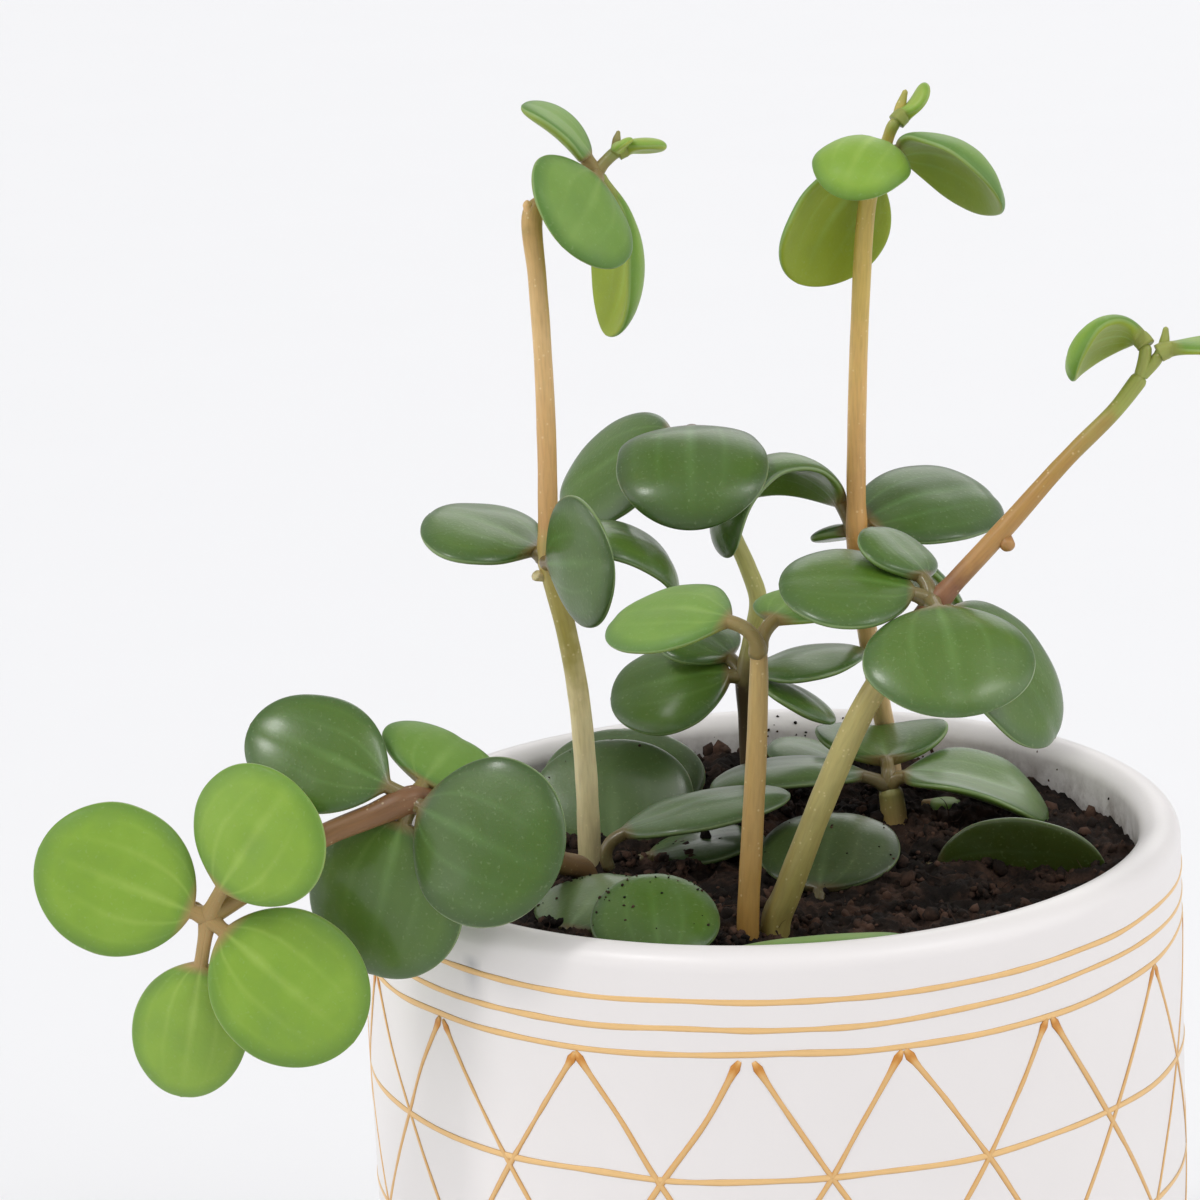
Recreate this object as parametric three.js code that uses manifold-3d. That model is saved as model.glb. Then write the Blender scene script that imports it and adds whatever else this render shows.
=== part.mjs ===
// A potted peperomia: a round glazed pot filled with soil, seven stems that stand in it and the round,
// fleshy leaves that grow from them. Millimetres, +Z up. The origin is the centre of the pot's base,
// +X is to the right and -Y is to the front.

import * as THREE from "three";
import { mergeVertices } from "three/addons/utils/BufferGeometryUtils.js";
import Module from "manifold-3d";

const wasm = await Module();
wasm.setup();

// ---------------------------------------------------------------- driving dimensions

const CLEARANCE = 0.3; // between pieces that touch

const POT = {
  radius: 62.5,
  height: 110,
  wall: 6.3,
  floor: 7,
  footRound: 3,
  sides: 72,
};

const SOIL = {
  level: 100.6, // height of the soil at the front
  backRise: 2.6, // how much higher it lies at the back wall
  riseEnd: 45, // how far behind the middle it reaches that height
  rings: 12,
  sides: 48,
  clods: 90,
  seed: 41, // for the places and sizes of the clods
  clodRadius: [4, 8],
  clodHeight: [0.3, 1.9],
};

const STEM_SIDES = 8;
const BURIED = 12; // length of each stem below the surface of the soil

const LEAF = {
  thickness: 2.4,
  stalk: 2.0, // diameter of the leaf stalk
  sides: 8, // corners of a section across the blade
  sections: 9, // steps along the blade
  edgePower: 0.75, // below 1 the section is fuller than an ellipse, so the margin is blunt
  tipPower: 8, // how late the blade thins out towards its tip
  tipFloor: 0.15, // least share of the squared thickness, kept at the tip
  narrowest: 0.8, // least width
  blunt: 0.08, // how much slimmer than an ellipse the blade is near its stalk
  fullBy: 0.35, // share of the blade by which it has its full thickness
  walk: 300, // small steps that the midrib is walked in
  rounds: 4, // times that it is walked, each time with a better length
  correction: 1.2, // exponent of the correction to that length between two rounds
  plainStalk: 0.025, // a stalk shorter than this share of the midrib has no section at its middle
};

// Each stem: the points of its trunk from the soil to the tip, as x, y, z and the diameter there.
// Shoots are short side tubes, such as leaf stalks, buds and scars, that grow out of the trunk.
const STEMS = {
  left: {
    trunk: [
      [-27.6, 8.7, 102.5, 3.5], [-27.6, 8.5, 117.9, 3.4], [-28.2, 8.0, 129.3, 3.3],
      [-29.5, 7.5, 139.0, 3.2], [-31.2, 7.5, 147.7, 3.3], [-31.6, 7.5, 150.4, 3.6],
      [-31.5, 7.5, 154.8, 3.1], [-31.1, 8.0, 167.1, 2.9], [-31.0, 8.6, 180.9, 2.8],
      [-31.3, 9.4, 193.0, 2.8], [-31.5, 10.0, 202.9, 3.2], [-30.2, 10.5, 204.5, 2.5],
      [-26.6, 11.5, 206.1, 2.1], [-22.2, 12.0, 208.1, 2.2], [-20.4, 12.5, 209.9, 1.8],
      [-18.7, 13.0, 211.2, 1.9], [-17.5, 13.0, 211.3, 1.2],
    ],
    shoots: [
      [[-32.6, 7.3, 147.6, 1.6], [-33.6, 6.6, 148.0, 1.7], [-34.0, 6.3, 148.4, 0.9]],
      [[-31.6, 9.8, 202.2, 2.2], [-32.2, 9.4, 204.4, 1.5], [-32.3, 9.3, 205.2, 0.7]],
      [[-18.9, 13.0, 211.0, 1.5], [-18.6, 13.6, 212.8, 1.3], [-18.2, 14.0, 214.3, 0.6]],
    ],
  },
  tall: {
    trunk: [
      [20.6, 43.0, 100.5, 3.2], [20.0, 41.0, 108.7, 3.2], [18.6, 36.0, 118.5, 3.2],
      [16.7, 28.0, 133.1, 3.1], [15.6, 20.0, 149.2, 3.6], [15.6, 19.6, 154.5, 3.0],
      [16.1, 18.8, 167.3, 2.9], [16.9, 18.0, 181.5, 2.8], [18.4, 16.5, 199.4, 2.8],
      [19.5, 16.0, 204.8, 2.9], [21.1, 16.0, 208.1, 2.3], [22.1, 16.0, 211.1, 1.8],
      [22.9, 15.5, 213.0, 1.9], [23.9, 15.0, 214.0, 1.3],
    ],
    shoots: [
      [[23.2, 15.4, 213.3, 1.5], [24.0, 16.2, 215.4, 1.6], [25.0, 16.6, 218.2, 0.8]],
    ],
  },
  right: {
    trunk: [
      [0.5, -27.0, 102.8, 4.4], [2.1, -27.5, 106.8, 4.2], [8.0, -28.0, 121.4, 3.9],
      [14.6, -29.0, 135.8, 3.7], [20.6, -29.5, 144.8, 3.5], [24.9, -30.0, 150.6, 3.8],
      [28.3, -29.0, 154.0, 2.9], [35.4, -28.0, 161.1, 2.8], [41.9, -26.5, 167.7, 2.5],
      [46.1, -25.0, 171.6, 2.4], [52.1, -23.0, 176.8, 2.4], [56.3, -22.0, 181.7, 2.6],
    ],
    shoots: [
      [[56.0, -22.0, 181.4, 2.0], [56.6, -22.0, 184.2, 1.9], [56.8, -22.0, 186.2, 1.8]],
      [[56.2, -22.0, 181.6, 1.9], [58.0, -22.1, 183.5, 1.8], [58.8, -22.2, 184.8, 1.7]],
      [[57.9, -22.1, 183.2, 1.5], [59.4, -21.6, 186.0, 1.5], [59.8, -21.2, 188.4, 0.8]],
      [[35.4, -28.0, 159.5, 2.4], [35.9, -29.2, 158.8, 2.1], [36.0, -29.7, 158.5, 1.6]],
    ],
  },
  front: {
    trunk: [
      [-3.7, -29.5, 103.1, 3.3], [-2.6, -28.5, 115.8, 3.2], [-1.2, -27.5, 132.3, 3.0],
      [-0.6, -27.0, 144.2, 2.6], [-0.9, -27.0, 145.7, 2.0],
      [-1.1, -27.0, 146.4, 0.8],
    ],
    shoots: [],
  },
  middle: {
    trunk: [
      [-1.6, 31.0, 98.4, 2.6], [-2.5, 30.0, 108.7, 2.5], [-2.6, 28.0, 117.6, 2.5],
      [-2.4, 26.0, 125.0, 3.3], [-1.5, 25.0, 131.4, 2.4], [0.0, 24.0, 138.1, 2.9],
      [-1.4, 24.0, 143.3, 2.7], [-3.5, 23.5, 148.8, 2.6], [-6.4, 23.0, 157.0, 2.5],
      [-9.0, 23.0, 164.6, 2.7], [-9.3, 23.0, 166.0, 1.8],
    ],
    shoots: [],
  },
  short: {
    trunk: [
      [20.0, 22.0, 101.1, 4.2], [19.9, 22.0, 102.9, 4.0], [19.6, 22.0, 106.2, 3.8],
      [19.3, 22.0, 108.1, 3.2],
    ],
    shoots: [],
  },
  trailing: {
    trunk: [
      [-28.1, 2.0, 101.5, 3.6], [-31.7, -6.0, 106.3, 3.5], [-37.1, -18.0, 113.1, 3.4],
      [-43.4, -34.0, 122.0, 3.3], [-50.6, -46.0, 129.4, 4.2], [-56.9, -47.5, 127.6, 3.5],
      [-64.1, -49.0, 125.2, 3.3], [-72.6, -50.5, 119.7, 3.2], [-80.4, -52.0, 115.0, 3.0],
      [-81.6, -52.2, 114.2, 2.2],
    ],
    shoots: [
      [[-80.8, -52.0, 114.8, 1.6], [-81.8, -51.6, 116.2, 1.6], [-82.2, -51.4, 117.2, 0.8]],
    ],
  },
};

// The places on the stems that leaves grow from: the stem and the point on its axis.
const NODES = {
  left_mid: ["left", [-31.8, 7.5, 149.9]],
  left_tip: ["left", [-22.2, 12.0, 207.9]],
  left_bud: ["left", [-18.6, 13.0, 211.2]],
  tall_mid: ["tall", [15.4, 20.0, 149.2]],
  tall_tip: ["tall", [21.1, 16.0, 208.1]],
  tall_bud: ["tall", [23.4, 15.2, 213.6]],
  right_mid: ["right", [24.5, -30.0, 151.2]],
  right_stalk: ["right", [56.8, -22.0, 185.9]],
  right_tip: ["right", [58.6, -22.2, 184.7]],
  front_tip: ["front", [-0.7, -27.0, 143.6]],
  middle_mid: ["middle", [-2.4, 26.0, 125.2]],
  middle_tip: ["middle", [-9.2, 23.0, 165.2]],
  short_tip: ["short", [19.3, 22.0, 107.7]],
  trailing_mid: ["trailing", [-50.9, -46.0, 129.2]],
  trailing_tip: ["trailing", [-80.4, -52.0, 115.0]],
};

// Each leaf: where it starts (a place on a stem, or a point in the soil), then the azimuth, the pitch
// and the roll of the line from its start to its tip, its length and width, the arch that bends
// the midrib down over its length, the cup that bends the sides down, the length of its stalk
// and how far that stalk first rises above the line. Last, if it isn't the usual one, its bluntness.
const OLD = 0x4d6b36;
const YOUNG = 0x93b455;
const LEAVES = {
  left_tip_top: [YOUNG, "left_tip", 174, 46, -5, 15, 10.5, 40, -40, 3, 20, -0.2],
  left_tip_front: [YOUNG, "left_tip", -106, -24, -55, 18.2, 20.5, 40, 20, 2.5, 20, -0.05],
  left_tip_lower: [YOUNG, "left_tip", 75, -83, 53, 25.3, 17.5, 80, 110, 3.5, 10, 0.6],
  left_mid_left: [OLD, "left_mid", 157, 17, -6, 20.5, 22, 25, 30, 2.5, 20],
  left_mid_front: [OLD, "left_mid", -58, 12, 91, 20, 20, 20, 8, 2.8, 20],
  left_mid_right: [OLD, "left_mid", 15, -22, 8, 21, 17, 130, 60, 2.5, 30],
  tall_tip_front: [YOUNG, "tall_tip", -115, -12, -14, 16, 15.5, 105, 70, 2.5, 20],
  tall_tip_right: [YOUNG, "tall_tip", -32, -16, -45, 21, 19, 90, 100, 2.5, 20],
  tall_tip_left: [YOUNG, "tall_tip", 177, -55, 48, 23, 23, 50, 85, 3, 20],
  tall_mid_curved: [OLD, "tall_mid", -152, -1, 28, 22, 17, 180, 100, 5, 0],
  tall_mid_right: [OLD, "tall_mid", 27, 3, 22, 25, 20.5, 60, 30, 2.5, 20, -0.15],
  tall_mid_lower: [OLD, "tall_mid", -4, -40, -25, 21, 14.5, 30, 30, 3, 10],
  tall_mid_back: [OLD, "tall_mid", 110, -18, 0, 8.5, 11, 30, 30, 2, 20],
  right_mid_left: [OLD, "right_mid", -180, 8.5, -20, 22, 20, 30, 25, 3, 20],
  right_mid_back: [OLD, "right_mid", 126, 34, 14, 15.5, 13.5, 15, 25, 4, 40],
  right_mid_front: [OLD, "right_mid", -81, -31, 0, 23, 25, 50, 30, 4.5, 20, -0.1],
  right_mid_right: [OLD, "right_mid", -4, -50, 25, 27.2, 22, 35, 20, 3, 20],
  right_tip_left: [YOUNG, "right_stalk", -165, -19, 35, 11.3, 16, 150, 60, 1.5, 20],
  right_tip_right: [YOUNG, "right_tip", 5, 1, -8, 21, 18, 15, 30, 2, 20],
  front_tip_left: [YOUNG, "front_tip", 150, 5, -22, 24.5, 17, 40, 40, 7.5, 95, 0.25],
  front_tip_right: [YOUNG, "front_tip", 50, 12, 0, 21, 17, 40, 40, 6, 50],
  middle_tip_front: [OLD, "middle_tip", -91, -25, 0, 23.5, 23.5, 90, 30, 2.5, 10, -0.3],
  middle_tip_left: [OLD, "middle_tip", 162, -28, -35, 25, 22, 30, 30, 3, 20],
  middle_mid_left: [OLD, "middle_mid", 171, -9.5, -32, 22, 18.8, 20, 35, 2.5, 20],
  middle_mid_back: [OLD, "middle_mid", 143, 25, -10, 17, 15, 30, 30, 4, 20],
  middle_mid_right: [OLD, "middle_mid", -12, 11, -3, 19.5, 21, 30, 40, 2.5, 20],
  middle_mid_lower: [OLD, "middle_mid", -30, -22, -20, 16, 16, 30, 30, 3, 10],
  trailing_mid_back: [OLD, "trailing_mid", 165, 24, -50, 26, 18, 25, 20, 4, 20, 0.35],
  trailing_mid_light: [YOUNG, "trailing_mid", 60, 20, 30, 15, 20, 40, 30, 3, 20],
  trailing_mid_front: [OLD, "trailing_mid", -29, -20, 66, 25, 25, 30, 20, 2.5, 20],
  trailing_mid_lower: [OLD, "trailing_mid", 170.5, -73.5, -80, 27.2, 24, 25, 20, 3.2, 20],
  trailing_tip_left: [YOUNG, "trailing_tip", 175, 24, -75, 26, 22, 15, 20, 2.5, 20],
  trailing_tip_top: [YOUNG, "trailing_tip", -18, 55, 80, 25.5, 22, 15, 20, 6, 20],
  trailing_tip_low: [YOUNG, "trailing_tip", -5, -44, 72, 27.5, 22, 20, 15, 3, 20],
  trailing_tip_bottom: [YOUNG, "trailing_tip", 150, -76, -120, 29, 17, 10, 28, 7, 20],
  soil_back_left: [OLD, [-24, 18, 96.5], 90, 55, 0, 22, 26, 20, 20, 3, 0],
  soil_behind: [OLD, [-23, 31, 97], 86, 50, 4, 20, 26, 20, 20, 3, 0],
  soil_long: [OLD, [-24.5, 3, 102], 10, 18, 0, 30, 17, 25, 25, 7, 90],
  soil_under: [OLD, [-20, 11, 100.5], 12, 6, 0, 20, 15, 15, 20, 2, 0],
  soil_flat_left: [OLD, [-31, -23, 99.5], 62, 14, 0, 18.5, 20, 15, 20, 2, 0],
  soil_front: [YOUNG, [-16.5, -43, 100], 95, 30, 0, 20, 19, 20, 25, 2, 0],
  soil_rim: [YOUNG, [-7.5, -46, 104.2], 8, 1, -18, 26.5, 15, 5, 15, 1.5, 0],
  soil_dark: [OLD, [7, -11, 100], 78, 22, 0, 21, 22, 30, 25, 2, 0],
  soil_upright: [OLD, [24, 3, 100], -14, 0, -80, 28, 19, 10, 20, 1.5, 0],
  short_left: [OLD, "short_tip", -179, 2, 0, 28, 14, 40, 25, 4.5, 10],
  short_top: [OLD, [15, 41, 102], 162, 22, 0, 16, 15, 40, 25, 3, 20],
  short_behind: [OLD, "short_tip", 94, 20, 0, 16, 22, 10, -50, 4.5, 80],
  short_right: [OLD, "short_tip", -6, -13, 4, 25.3, 19, 50, -40, 3, 50],
  short_small: [YOUNG, [25, 29, 102], -25, 4, 0, 6, 5.5, 20, 20, 1.5, 0],
};

// Small folded leaves at the growing tips, in one piece with their stem.
const LEAFLETS = {
  left: [
    ["left_bud", 5, 2, -20, 7.5, 5, 40, 80, 1.5, 10],
    ["left_bud", -60, 30, 20, 4.5, 3, 30, 60, 1, 10],
  ],
  tall: [["tall_bud", 30, 45, -20, 7.5, 5, -30, 80, 1.5, 10]],
};

// ---------------------------------------------------------------- solids

function solidOf(geometry) {
  const bare = geometry.clone();
  bare.deleteAttribute("normal");
  bare.deleteAttribute("uv");
  const merged = mergeVertices(bare, 1e-4);
  return new wasm.Manifold(
    new wasm.Mesh({
      numProp: 3,
      vertProperties: new Float32Array(merged.attributes.position.array),
      triVerts: new Uint32Array(merged.index.array),
    }),
  );
}

function geometryOf(solid) {
  const mesh = solid.getMesh();
  const geometry = new THREE.BufferGeometry();
  geometry.setAttribute("position", new THREE.BufferAttribute(mesh.vertProperties, mesh.numProp));
  geometry.setIndex(new THREE.BufferAttribute(mesh.triVerts, 1));
  geometry.computeVertexNormals();
  return geometry;
}

// One closed body from rings of points with the same even count. Each ring runs anticlockwise about
// the direction of travel. Its second half mirrors the first, and the diagonals do so too, so that
// the two faces of a thin blade are split alike.
function loft(rings) {
  const count = rings[0].length;
  const half = count / 2;
  const corner = (ring, k) => ring * count + (k % count);
  const index = [];
  for (let ring = 0; ring < rings.length - 1; ring += 1) {
    for (let k = 0; k < count; k += 1) {
      const a = corner(ring, k);
      const b = corner(ring, k + 1);
      const c = corner(ring + 1, k + 1);
      const d = corner(ring + 1, k);
      if (k < half) index.push(a, b, c, a, c, d);
      else index.push(a, b, d, b, c, d);
    }
  }
  const last = rings.length - 1;
  for (let k = 0; k < half - 1; k += 1) {
    const across = count - 1 - k;
    const near = [corner(0, k), corner(0, k + 1), corner(0, across - 1), corner(0, across)];
    const far = near.map((i) => i + last * count);
    index.push(near[0], near[2], near[1], near[0], near[3], near[2]);
    index.push(far[0], far[1], far[2], far[0], far[2], far[3]);
  }
  const geometry = new THREE.BufferGeometry().setFromPoints(rings.flat());
  geometry.setIndex(index);
  geometry.computeVertexNormals();
  return geometry;
}

// A round tube through x, y, z and diameter points, smooth between them. Grow makes it larger all round.
function tube(points, grow = 0) {
  const curve = new THREE.CatmullRomCurve3(points.map(([x, y, z]) => new THREE.Vector3(x, y, z)));
  const steps = (points.length - 1) * 2;
  const side = new THREE.Vector3(1, 0, 0);
  const rings = [];
  for (let i = 0; i <= steps; i += 1) {
    const t = i / steps;
    const along = curve.getTangent(t);
    side.addScaledVector(along, -side.dot(along)).normalize();
    const up = new THREE.Vector3().crossVectors(along, side);
    const centre = curve.getPoint(t);
    if (i === 0) centre.addScaledVector(along, -grow);
    if (i === steps) centre.addScaledVector(along, grow);
    const before = Math.min(Math.floor(i / 2), points.length - 2);
    const share = i / 2 - before;
    const diameter = points[before][3] * (1 - share) + points[before + 1][3] * share;
    const ring = [];
    for (let k = 0; k < STEM_SIDES; k += 1) {
      const turn = ((k + 0.5) / STEM_SIDES) * 2 * Math.PI;
      const point = centre.clone();
      point.addScaledVector(side, Math.cos(turn) * (diameter / 2 + grow));
      point.addScaledVector(up, Math.sin(turn) * (diameter / 2 + grow));
      ring.push(point);
    }
    rings.push(ring);
  }
  return loft(rings);
}

// ---------------------------------------------------------------- leaves

const radians = THREE.MathUtils.degToRad;

function smooth(x) {
  const t = THREE.MathUtils.clamp(x, 0, 1);
  return t * t * (3 - 2 * t);
}

// Distance from a point to a stem's surface, for a flat end of the given radius that faces along.
function clearOf(stem, point, along, radius) {
  let least = Infinity;
  for (const line of [STEMS[stem].trunk, ...STEMS[stem].shoots]) {
    for (let i = 1; i < line.length; i += 1) {
      const [before, after] = [line[i - 1], line[i]];
      const axis = new THREE.Line3(new THREE.Vector3(...before), new THREE.Vector3(...after));
      const share = axis.closestPointToPointParameter(point, true);
      const out = point.clone().sub(axis.at(share, new THREE.Vector3()));
      const away = out.length();
      const facing = away > 0 ? Math.abs(out.dot(along)) / away : 0;
      const spread = radius * Math.sqrt(Math.max(1 - facing * facing, 0));
      const stemRadius = (before[3] * (1 - share) + after[3] * share) / 2;
      least = Math.min(least, away - spread - stemRadius);
    }
  }
  return least;
}

// A leaf's midrib in its own upright plane, walked in small steps from the start to the tip, and
// turned so that the line between them lies level. Its heading falls by the arch over the blade,
// and over the stalk it first stands up by the hook.
function midrib(length, stalk, arch, hook) {
  let blade = length - stalk;
  let path = [];
  for (let round = 1; round <= LEAF.rounds; round += 1) {
    const step = (stalk + blade) / LEAF.walk;
    let x = 0;
    let z = 0;
    path = [{ s: 0, x, z, heading: radians(hook + arch / 2) }];
    for (let i = 1; i <= LEAF.walk; i += 1) {
      const s = i * step;
      const share = THREE.MathUtils.clamp((s - stalk) / blade, 0, 1);
      const heading = radians(hook * (1 - smooth(s / stalk)) + arch * (0.5 - share));
      x += Math.cos(heading) * step;
      z += Math.sin(heading) * step;
      path.push({ s, x, z, heading });
    }
    if (round < LEAF.rounds) blade *= (length / Math.hypot(x, z)) ** LEAF.correction;
  }
  const end = path[path.length - 1];
  const turn = Math.atan2(end.z, end.x);
  return path.map(({ s, x, z, heading }) => ({
    s,
    share: THREE.MathUtils.clamp((s - stalk) / blade, 0, 1),
    x: x * Math.cos(turn) + z * Math.sin(turn),
    z: z * Math.cos(turn) - x * Math.sin(turn),
    heading: heading - turn,
  }));
}

// One leaf. The blade's half width follows a rounded oval, its section is a full lens, and the cup
// wraps that section round a cylinder below it. The flat start of the stalk stands clear of its stem.
function leaf([start, azimuth, pitch, roll, length, width, arch, cup, stalk, hook, blunt], grow = 0) {
  const [stem, origin] = typeof start === "string" ? NODES[start] : [null, start];
  const base = new THREE.Vector3(...origin);
  const a = radians(azimuth);
  const p = radians(pitch);
  const r = radians(roll);
  const out = new THREE.Vector3(Math.cos(p) * Math.cos(a), Math.cos(p) * Math.sin(a), Math.sin(p));
  const level = new THREE.Vector3(-Math.sin(a), Math.cos(a), 0);
  const upright = new THREE.Vector3().crossVectors(out, level);
  const side = level.clone().multiplyScalar(Math.cos(r)).addScaledVector(upright, Math.sin(r));
  const up = upright.multiplyScalar(Math.cos(r)).addScaledVector(level, -Math.sin(r));

  const path = midrib(length, stalk, arch, hook);
  const place = ({ x, z }) => base.clone().addScaledVector(out, x).addScaledVector(up, z);
  const heads = ({ heading }) =>
    out.clone().multiplyScalar(Math.cos(heading)).addScaledVector(up, Math.sin(heading));
  const stalkRadius = LEAF.stalk / 2;
  const first = stem
    ? path.findIndex((at) => clearOf(stem, place(at), heads(at), stalkRadius) >= CLEARANCE)
    : 0;
  if (first < 0) throw new Error(`a leaf at ${start} never leaves its stem`);

  const stations = [path[first]];
  const bladeStart = path.findIndex((at) => at.share > 0) - 1;
  if (bladeStart - first > LEAF.walk * LEAF.plainStalk) {
    stations.push(path[Math.floor((first + bladeStart) / 2)]);
  }
  for (let i = 0; i <= LEAF.sections; i += 1) {
    const share = (1 - Math.cos((Math.PI * i) / LEAF.sections)) / 2;
    const at = path[Math.round(bladeStart + (path.length - 1 - bladeStart) * share)];
    if (at.s > stations[stations.length - 1].s + LEAF.narrowest / 2) stations.push(at);
  }

  const bend = width / radians(cup);
  const rings = stations.map((at, i) => {
    const share = at.share;
    const power = 0.5 + (blunt ?? LEAF.blunt) * (1 - share) ** 2;
    const oval = Math.max(4 * share * (1 - share), 0) ** power;
    const w = Math.max(Math.hypot(width * oval, LEAF.stalk * (1 - share)), LEAF.narrowest) + 2 * grow;
    const full = LEAF.stalk + (LEAF.thickness - LEAF.stalk) * smooth(share / LEAF.fullBy);
    const t = full * Math.sqrt(Math.max(1 - share ** LEAF.tipPower, LEAF.tipFloor)) + 2 * grow;
    const along = heads(at);
    const normal = new THREE.Vector3().crossVectors(along, side);
    const centre = place(at);
    if (i === 0) centre.addScaledVector(along, -grow);
    if (i === stations.length - 1) centre.addScaledVector(along, grow);
    const ring = [];
    for (let k = 0; k < LEAF.sides; k += 1) {
      const turn = ((k + 0.5) / LEAF.sides) * 2 * Math.PI;
      const across = ((w / 2) * Math.cos(turn)) / Math.cos(Math.PI / LEAF.sides);
      const height = (t / 2) * Math.sign(Math.sin(turn)) * Math.abs(Math.sin(turn)) ** LEAF.edgePower;
      const point = centre.clone();
      point.addScaledVector(side, (bend + height) * Math.sin(across / bend));
      point.addScaledVector(normal, (bend + height) * Math.cos(across / bend) - bend);
      ring.push(point);
    }
    return ring;
  });
  return loft(rings);
}

// ---------------------------------------------------------------- stems, pot and soil

// A stem's trunk with its root end, which runs on straight down into the soil.
function rooted(trunk) {
  const [x, y, z, diameter] = trunk[0];
  return [[x, y, z - BURIED, diameter], ...trunk];
}

function stem(name) {
  let solid = solidOf(tube(rooted(STEMS[name].trunk)));
  for (const shoot of STEMS[name].shoots) solid = solid.add(solidOf(tube(shoot)));
  for (const row of LEAFLETS[name] ?? []) {
    const [start, ...rest] = row;
    solid = solid.add(solidOf(leaf([NODES[start][1], ...rest])));
  }
  return geometryOf(solid);
}

// Points of a quarter or half turn about a centre in the profile's plane.
function arc(x, z, radius, from, to, steps) {
  return Array.from({ length: steps + 1 }, (_, i) => {
    const turn = radians(from + ((to - from) * i) / steps);
    return new THREE.Vector2(x + radius * Math.cos(turn), z + radius * Math.sin(turn));
  });
}

// Turns a profile of radius and height points about the Z axis.
function turned(profile, sides) {
  return new THREE.LatheGeometry(profile, sides).rotateX(Math.PI / 2);
}

function pot() {
  const { radius, height, wall, floor, footRound, sides } = POT;
  const lip = wall / 2;
  const inner = radius - wall;
  return turned(
    [
      new THREE.Vector2(0, 0),
      ...arc(radius - footRound, footRound, footRound, -90, 0, 3),
      ...arc(radius - lip, height - lip, lip, 0, 180, 8),
      new THREE.Vector2(inner, floor),
      new THREE.Vector2(0, floor),
    ],
    sides,
  );
}

// The minimal standard random generator, the same draws every time.
function randomFrom(seed) {
  let state = seed;
  return (low, high) => {
    state = (state * 16807) % 2147483647;
    return low + ((high - low) * state) / 2147483647;
  };
}

// Clods of soil as x, y, radius and height, spread evenly over the surface.
function clods() {
  const random = randomFrom(SOIL.seed);
  const inner = POT.radius - POT.wall;
  return Array.from({ length: SOIL.clods }, () => {
    const reach = inner * Math.sqrt(random(0, 1));
    const turn = random(0, 2 * Math.PI);
    const size = random(...SOIL.clodRadius);
    const height = random(...SOIL.clodHeight);
    return [reach * Math.cos(turn), reach * Math.sin(turn), size, height];
  });
}

// The height of the soil: level at the front, rising to the back, with rounded clods on it.
function soilHeight(x, y, lumps) {
  let top = 0;
  for (const [cx, cy, size, height] of lumps) {
    const near = 1 - ((x - cx) ** 2 + (y - cy) ** 2) / size ** 2;
    if (near > 0) top = Math.max(top, height * Math.sqrt(near));
  }
  return SOIL.level + SOIL.backRise * smooth(y / SOIL.riseEnd) + top;
}

function soil() {
  const { rings, sides, level } = SOIL;
  const wallGap = 2 * CLEARANCE;
  const reach = POT.radius - POT.wall - wallGap;
  const bottom = POT.floor + CLEARANCE;
  const profile = [new THREE.Vector2(0, bottom), new THREE.Vector2(reach, bottom)];
  for (let ring = rings; ring >= 0; ring -= 1) {
    profile.push(new THREE.Vector2((reach * ring) / rings, level));
  }
  const geometry = turned(profile, sides);
  const place = geometry.attributes.position;
  const lumps = clods();
  for (let i = 0; i < place.count; i += 1) {
    if (place.getZ(i) > level / 2) place.setZ(i, soilHeight(place.getX(i), place.getY(i), lumps));
  }
  let solid = solidOf(geometry);
  for (const { trunk } of Object.values(STEMS)) {
    solid = solid.subtract(solidOf(tube(rooted(trunk), CLEARANCE)));
  }
  for (const [, start, ...rest] of Object.values(LEAVES)) {
    if (typeof start === "string" && !start.startsWith("short")) continue;
    solid = solid.subtract(solidOf(leaf([start, ...rest], CLEARANCE)));
  }
  return geometryOf(solid.decompose().sort((a, b) => b.volume() - a.volume())[0]);
}

// ---------------------------------------------------------------- the plant

const finish = (color, roughness) => new THREE.MeshStandardMaterial({ color, roughness, metalness: 0 });
const materials = {
  glaze: finish(0xf4f0ef, 0.35),
  soil: finish(0x3a2a22, 0.95),
  stem: finish(0xa8884f, 0.6),
  [OLD]: finish(OLD, 0.5),
  [YOUNG]: finish(YOUNG, 0.45),
};

const plant = new THREE.Group();

function put(name, geometry, material) {
  const mesh = new THREE.Mesh(geometry, material);
  mesh.name = name;
  plant.add(mesh);
}

put("pot", pot(), materials.glaze);
put("soil", soil(), materials.soil);
for (const name of Object.keys(STEMS)) put(`stem_${name}`, stem(name), materials.stem);
for (const [name, [color, ...row]] of Object.entries(LEAVES)) {
  put(`leaf_${name}`, leaf(row), materials[color]);
}

export default plant;
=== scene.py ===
"""A potted peperomia: the looks of its pot, gold lines, soil, stems and round fleshy leaves.

Lengths in the tables and in the shape functions are millimetres, +Z up, with the origin at the centre
of the pot's base and -Y to the front. They become metres when a mesh is made.
"""

import math

import bmesh
import bpy
import numpy as np
from bpy.props import FloatProperty, FloatVectorProperty, IntProperty, PointerProperty
from mathutils import Matrix


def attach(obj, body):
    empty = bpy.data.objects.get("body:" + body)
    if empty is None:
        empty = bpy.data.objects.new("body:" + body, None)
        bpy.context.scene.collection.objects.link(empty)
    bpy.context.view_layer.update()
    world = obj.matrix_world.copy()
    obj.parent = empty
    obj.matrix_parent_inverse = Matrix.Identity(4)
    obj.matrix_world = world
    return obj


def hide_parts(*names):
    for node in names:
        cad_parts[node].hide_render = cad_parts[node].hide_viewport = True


bl_info = {
    "name": "Potted Peperomia",
    "version": (1, 0, 0),
    "blender": (4, 5, 0),
    "location": "View3D > Sidebar > Peperomia",
    "description": "Leaves, stems, soil and a gold-lined pot around the packed solids",
    "category": "Add Mesh",
}

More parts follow.
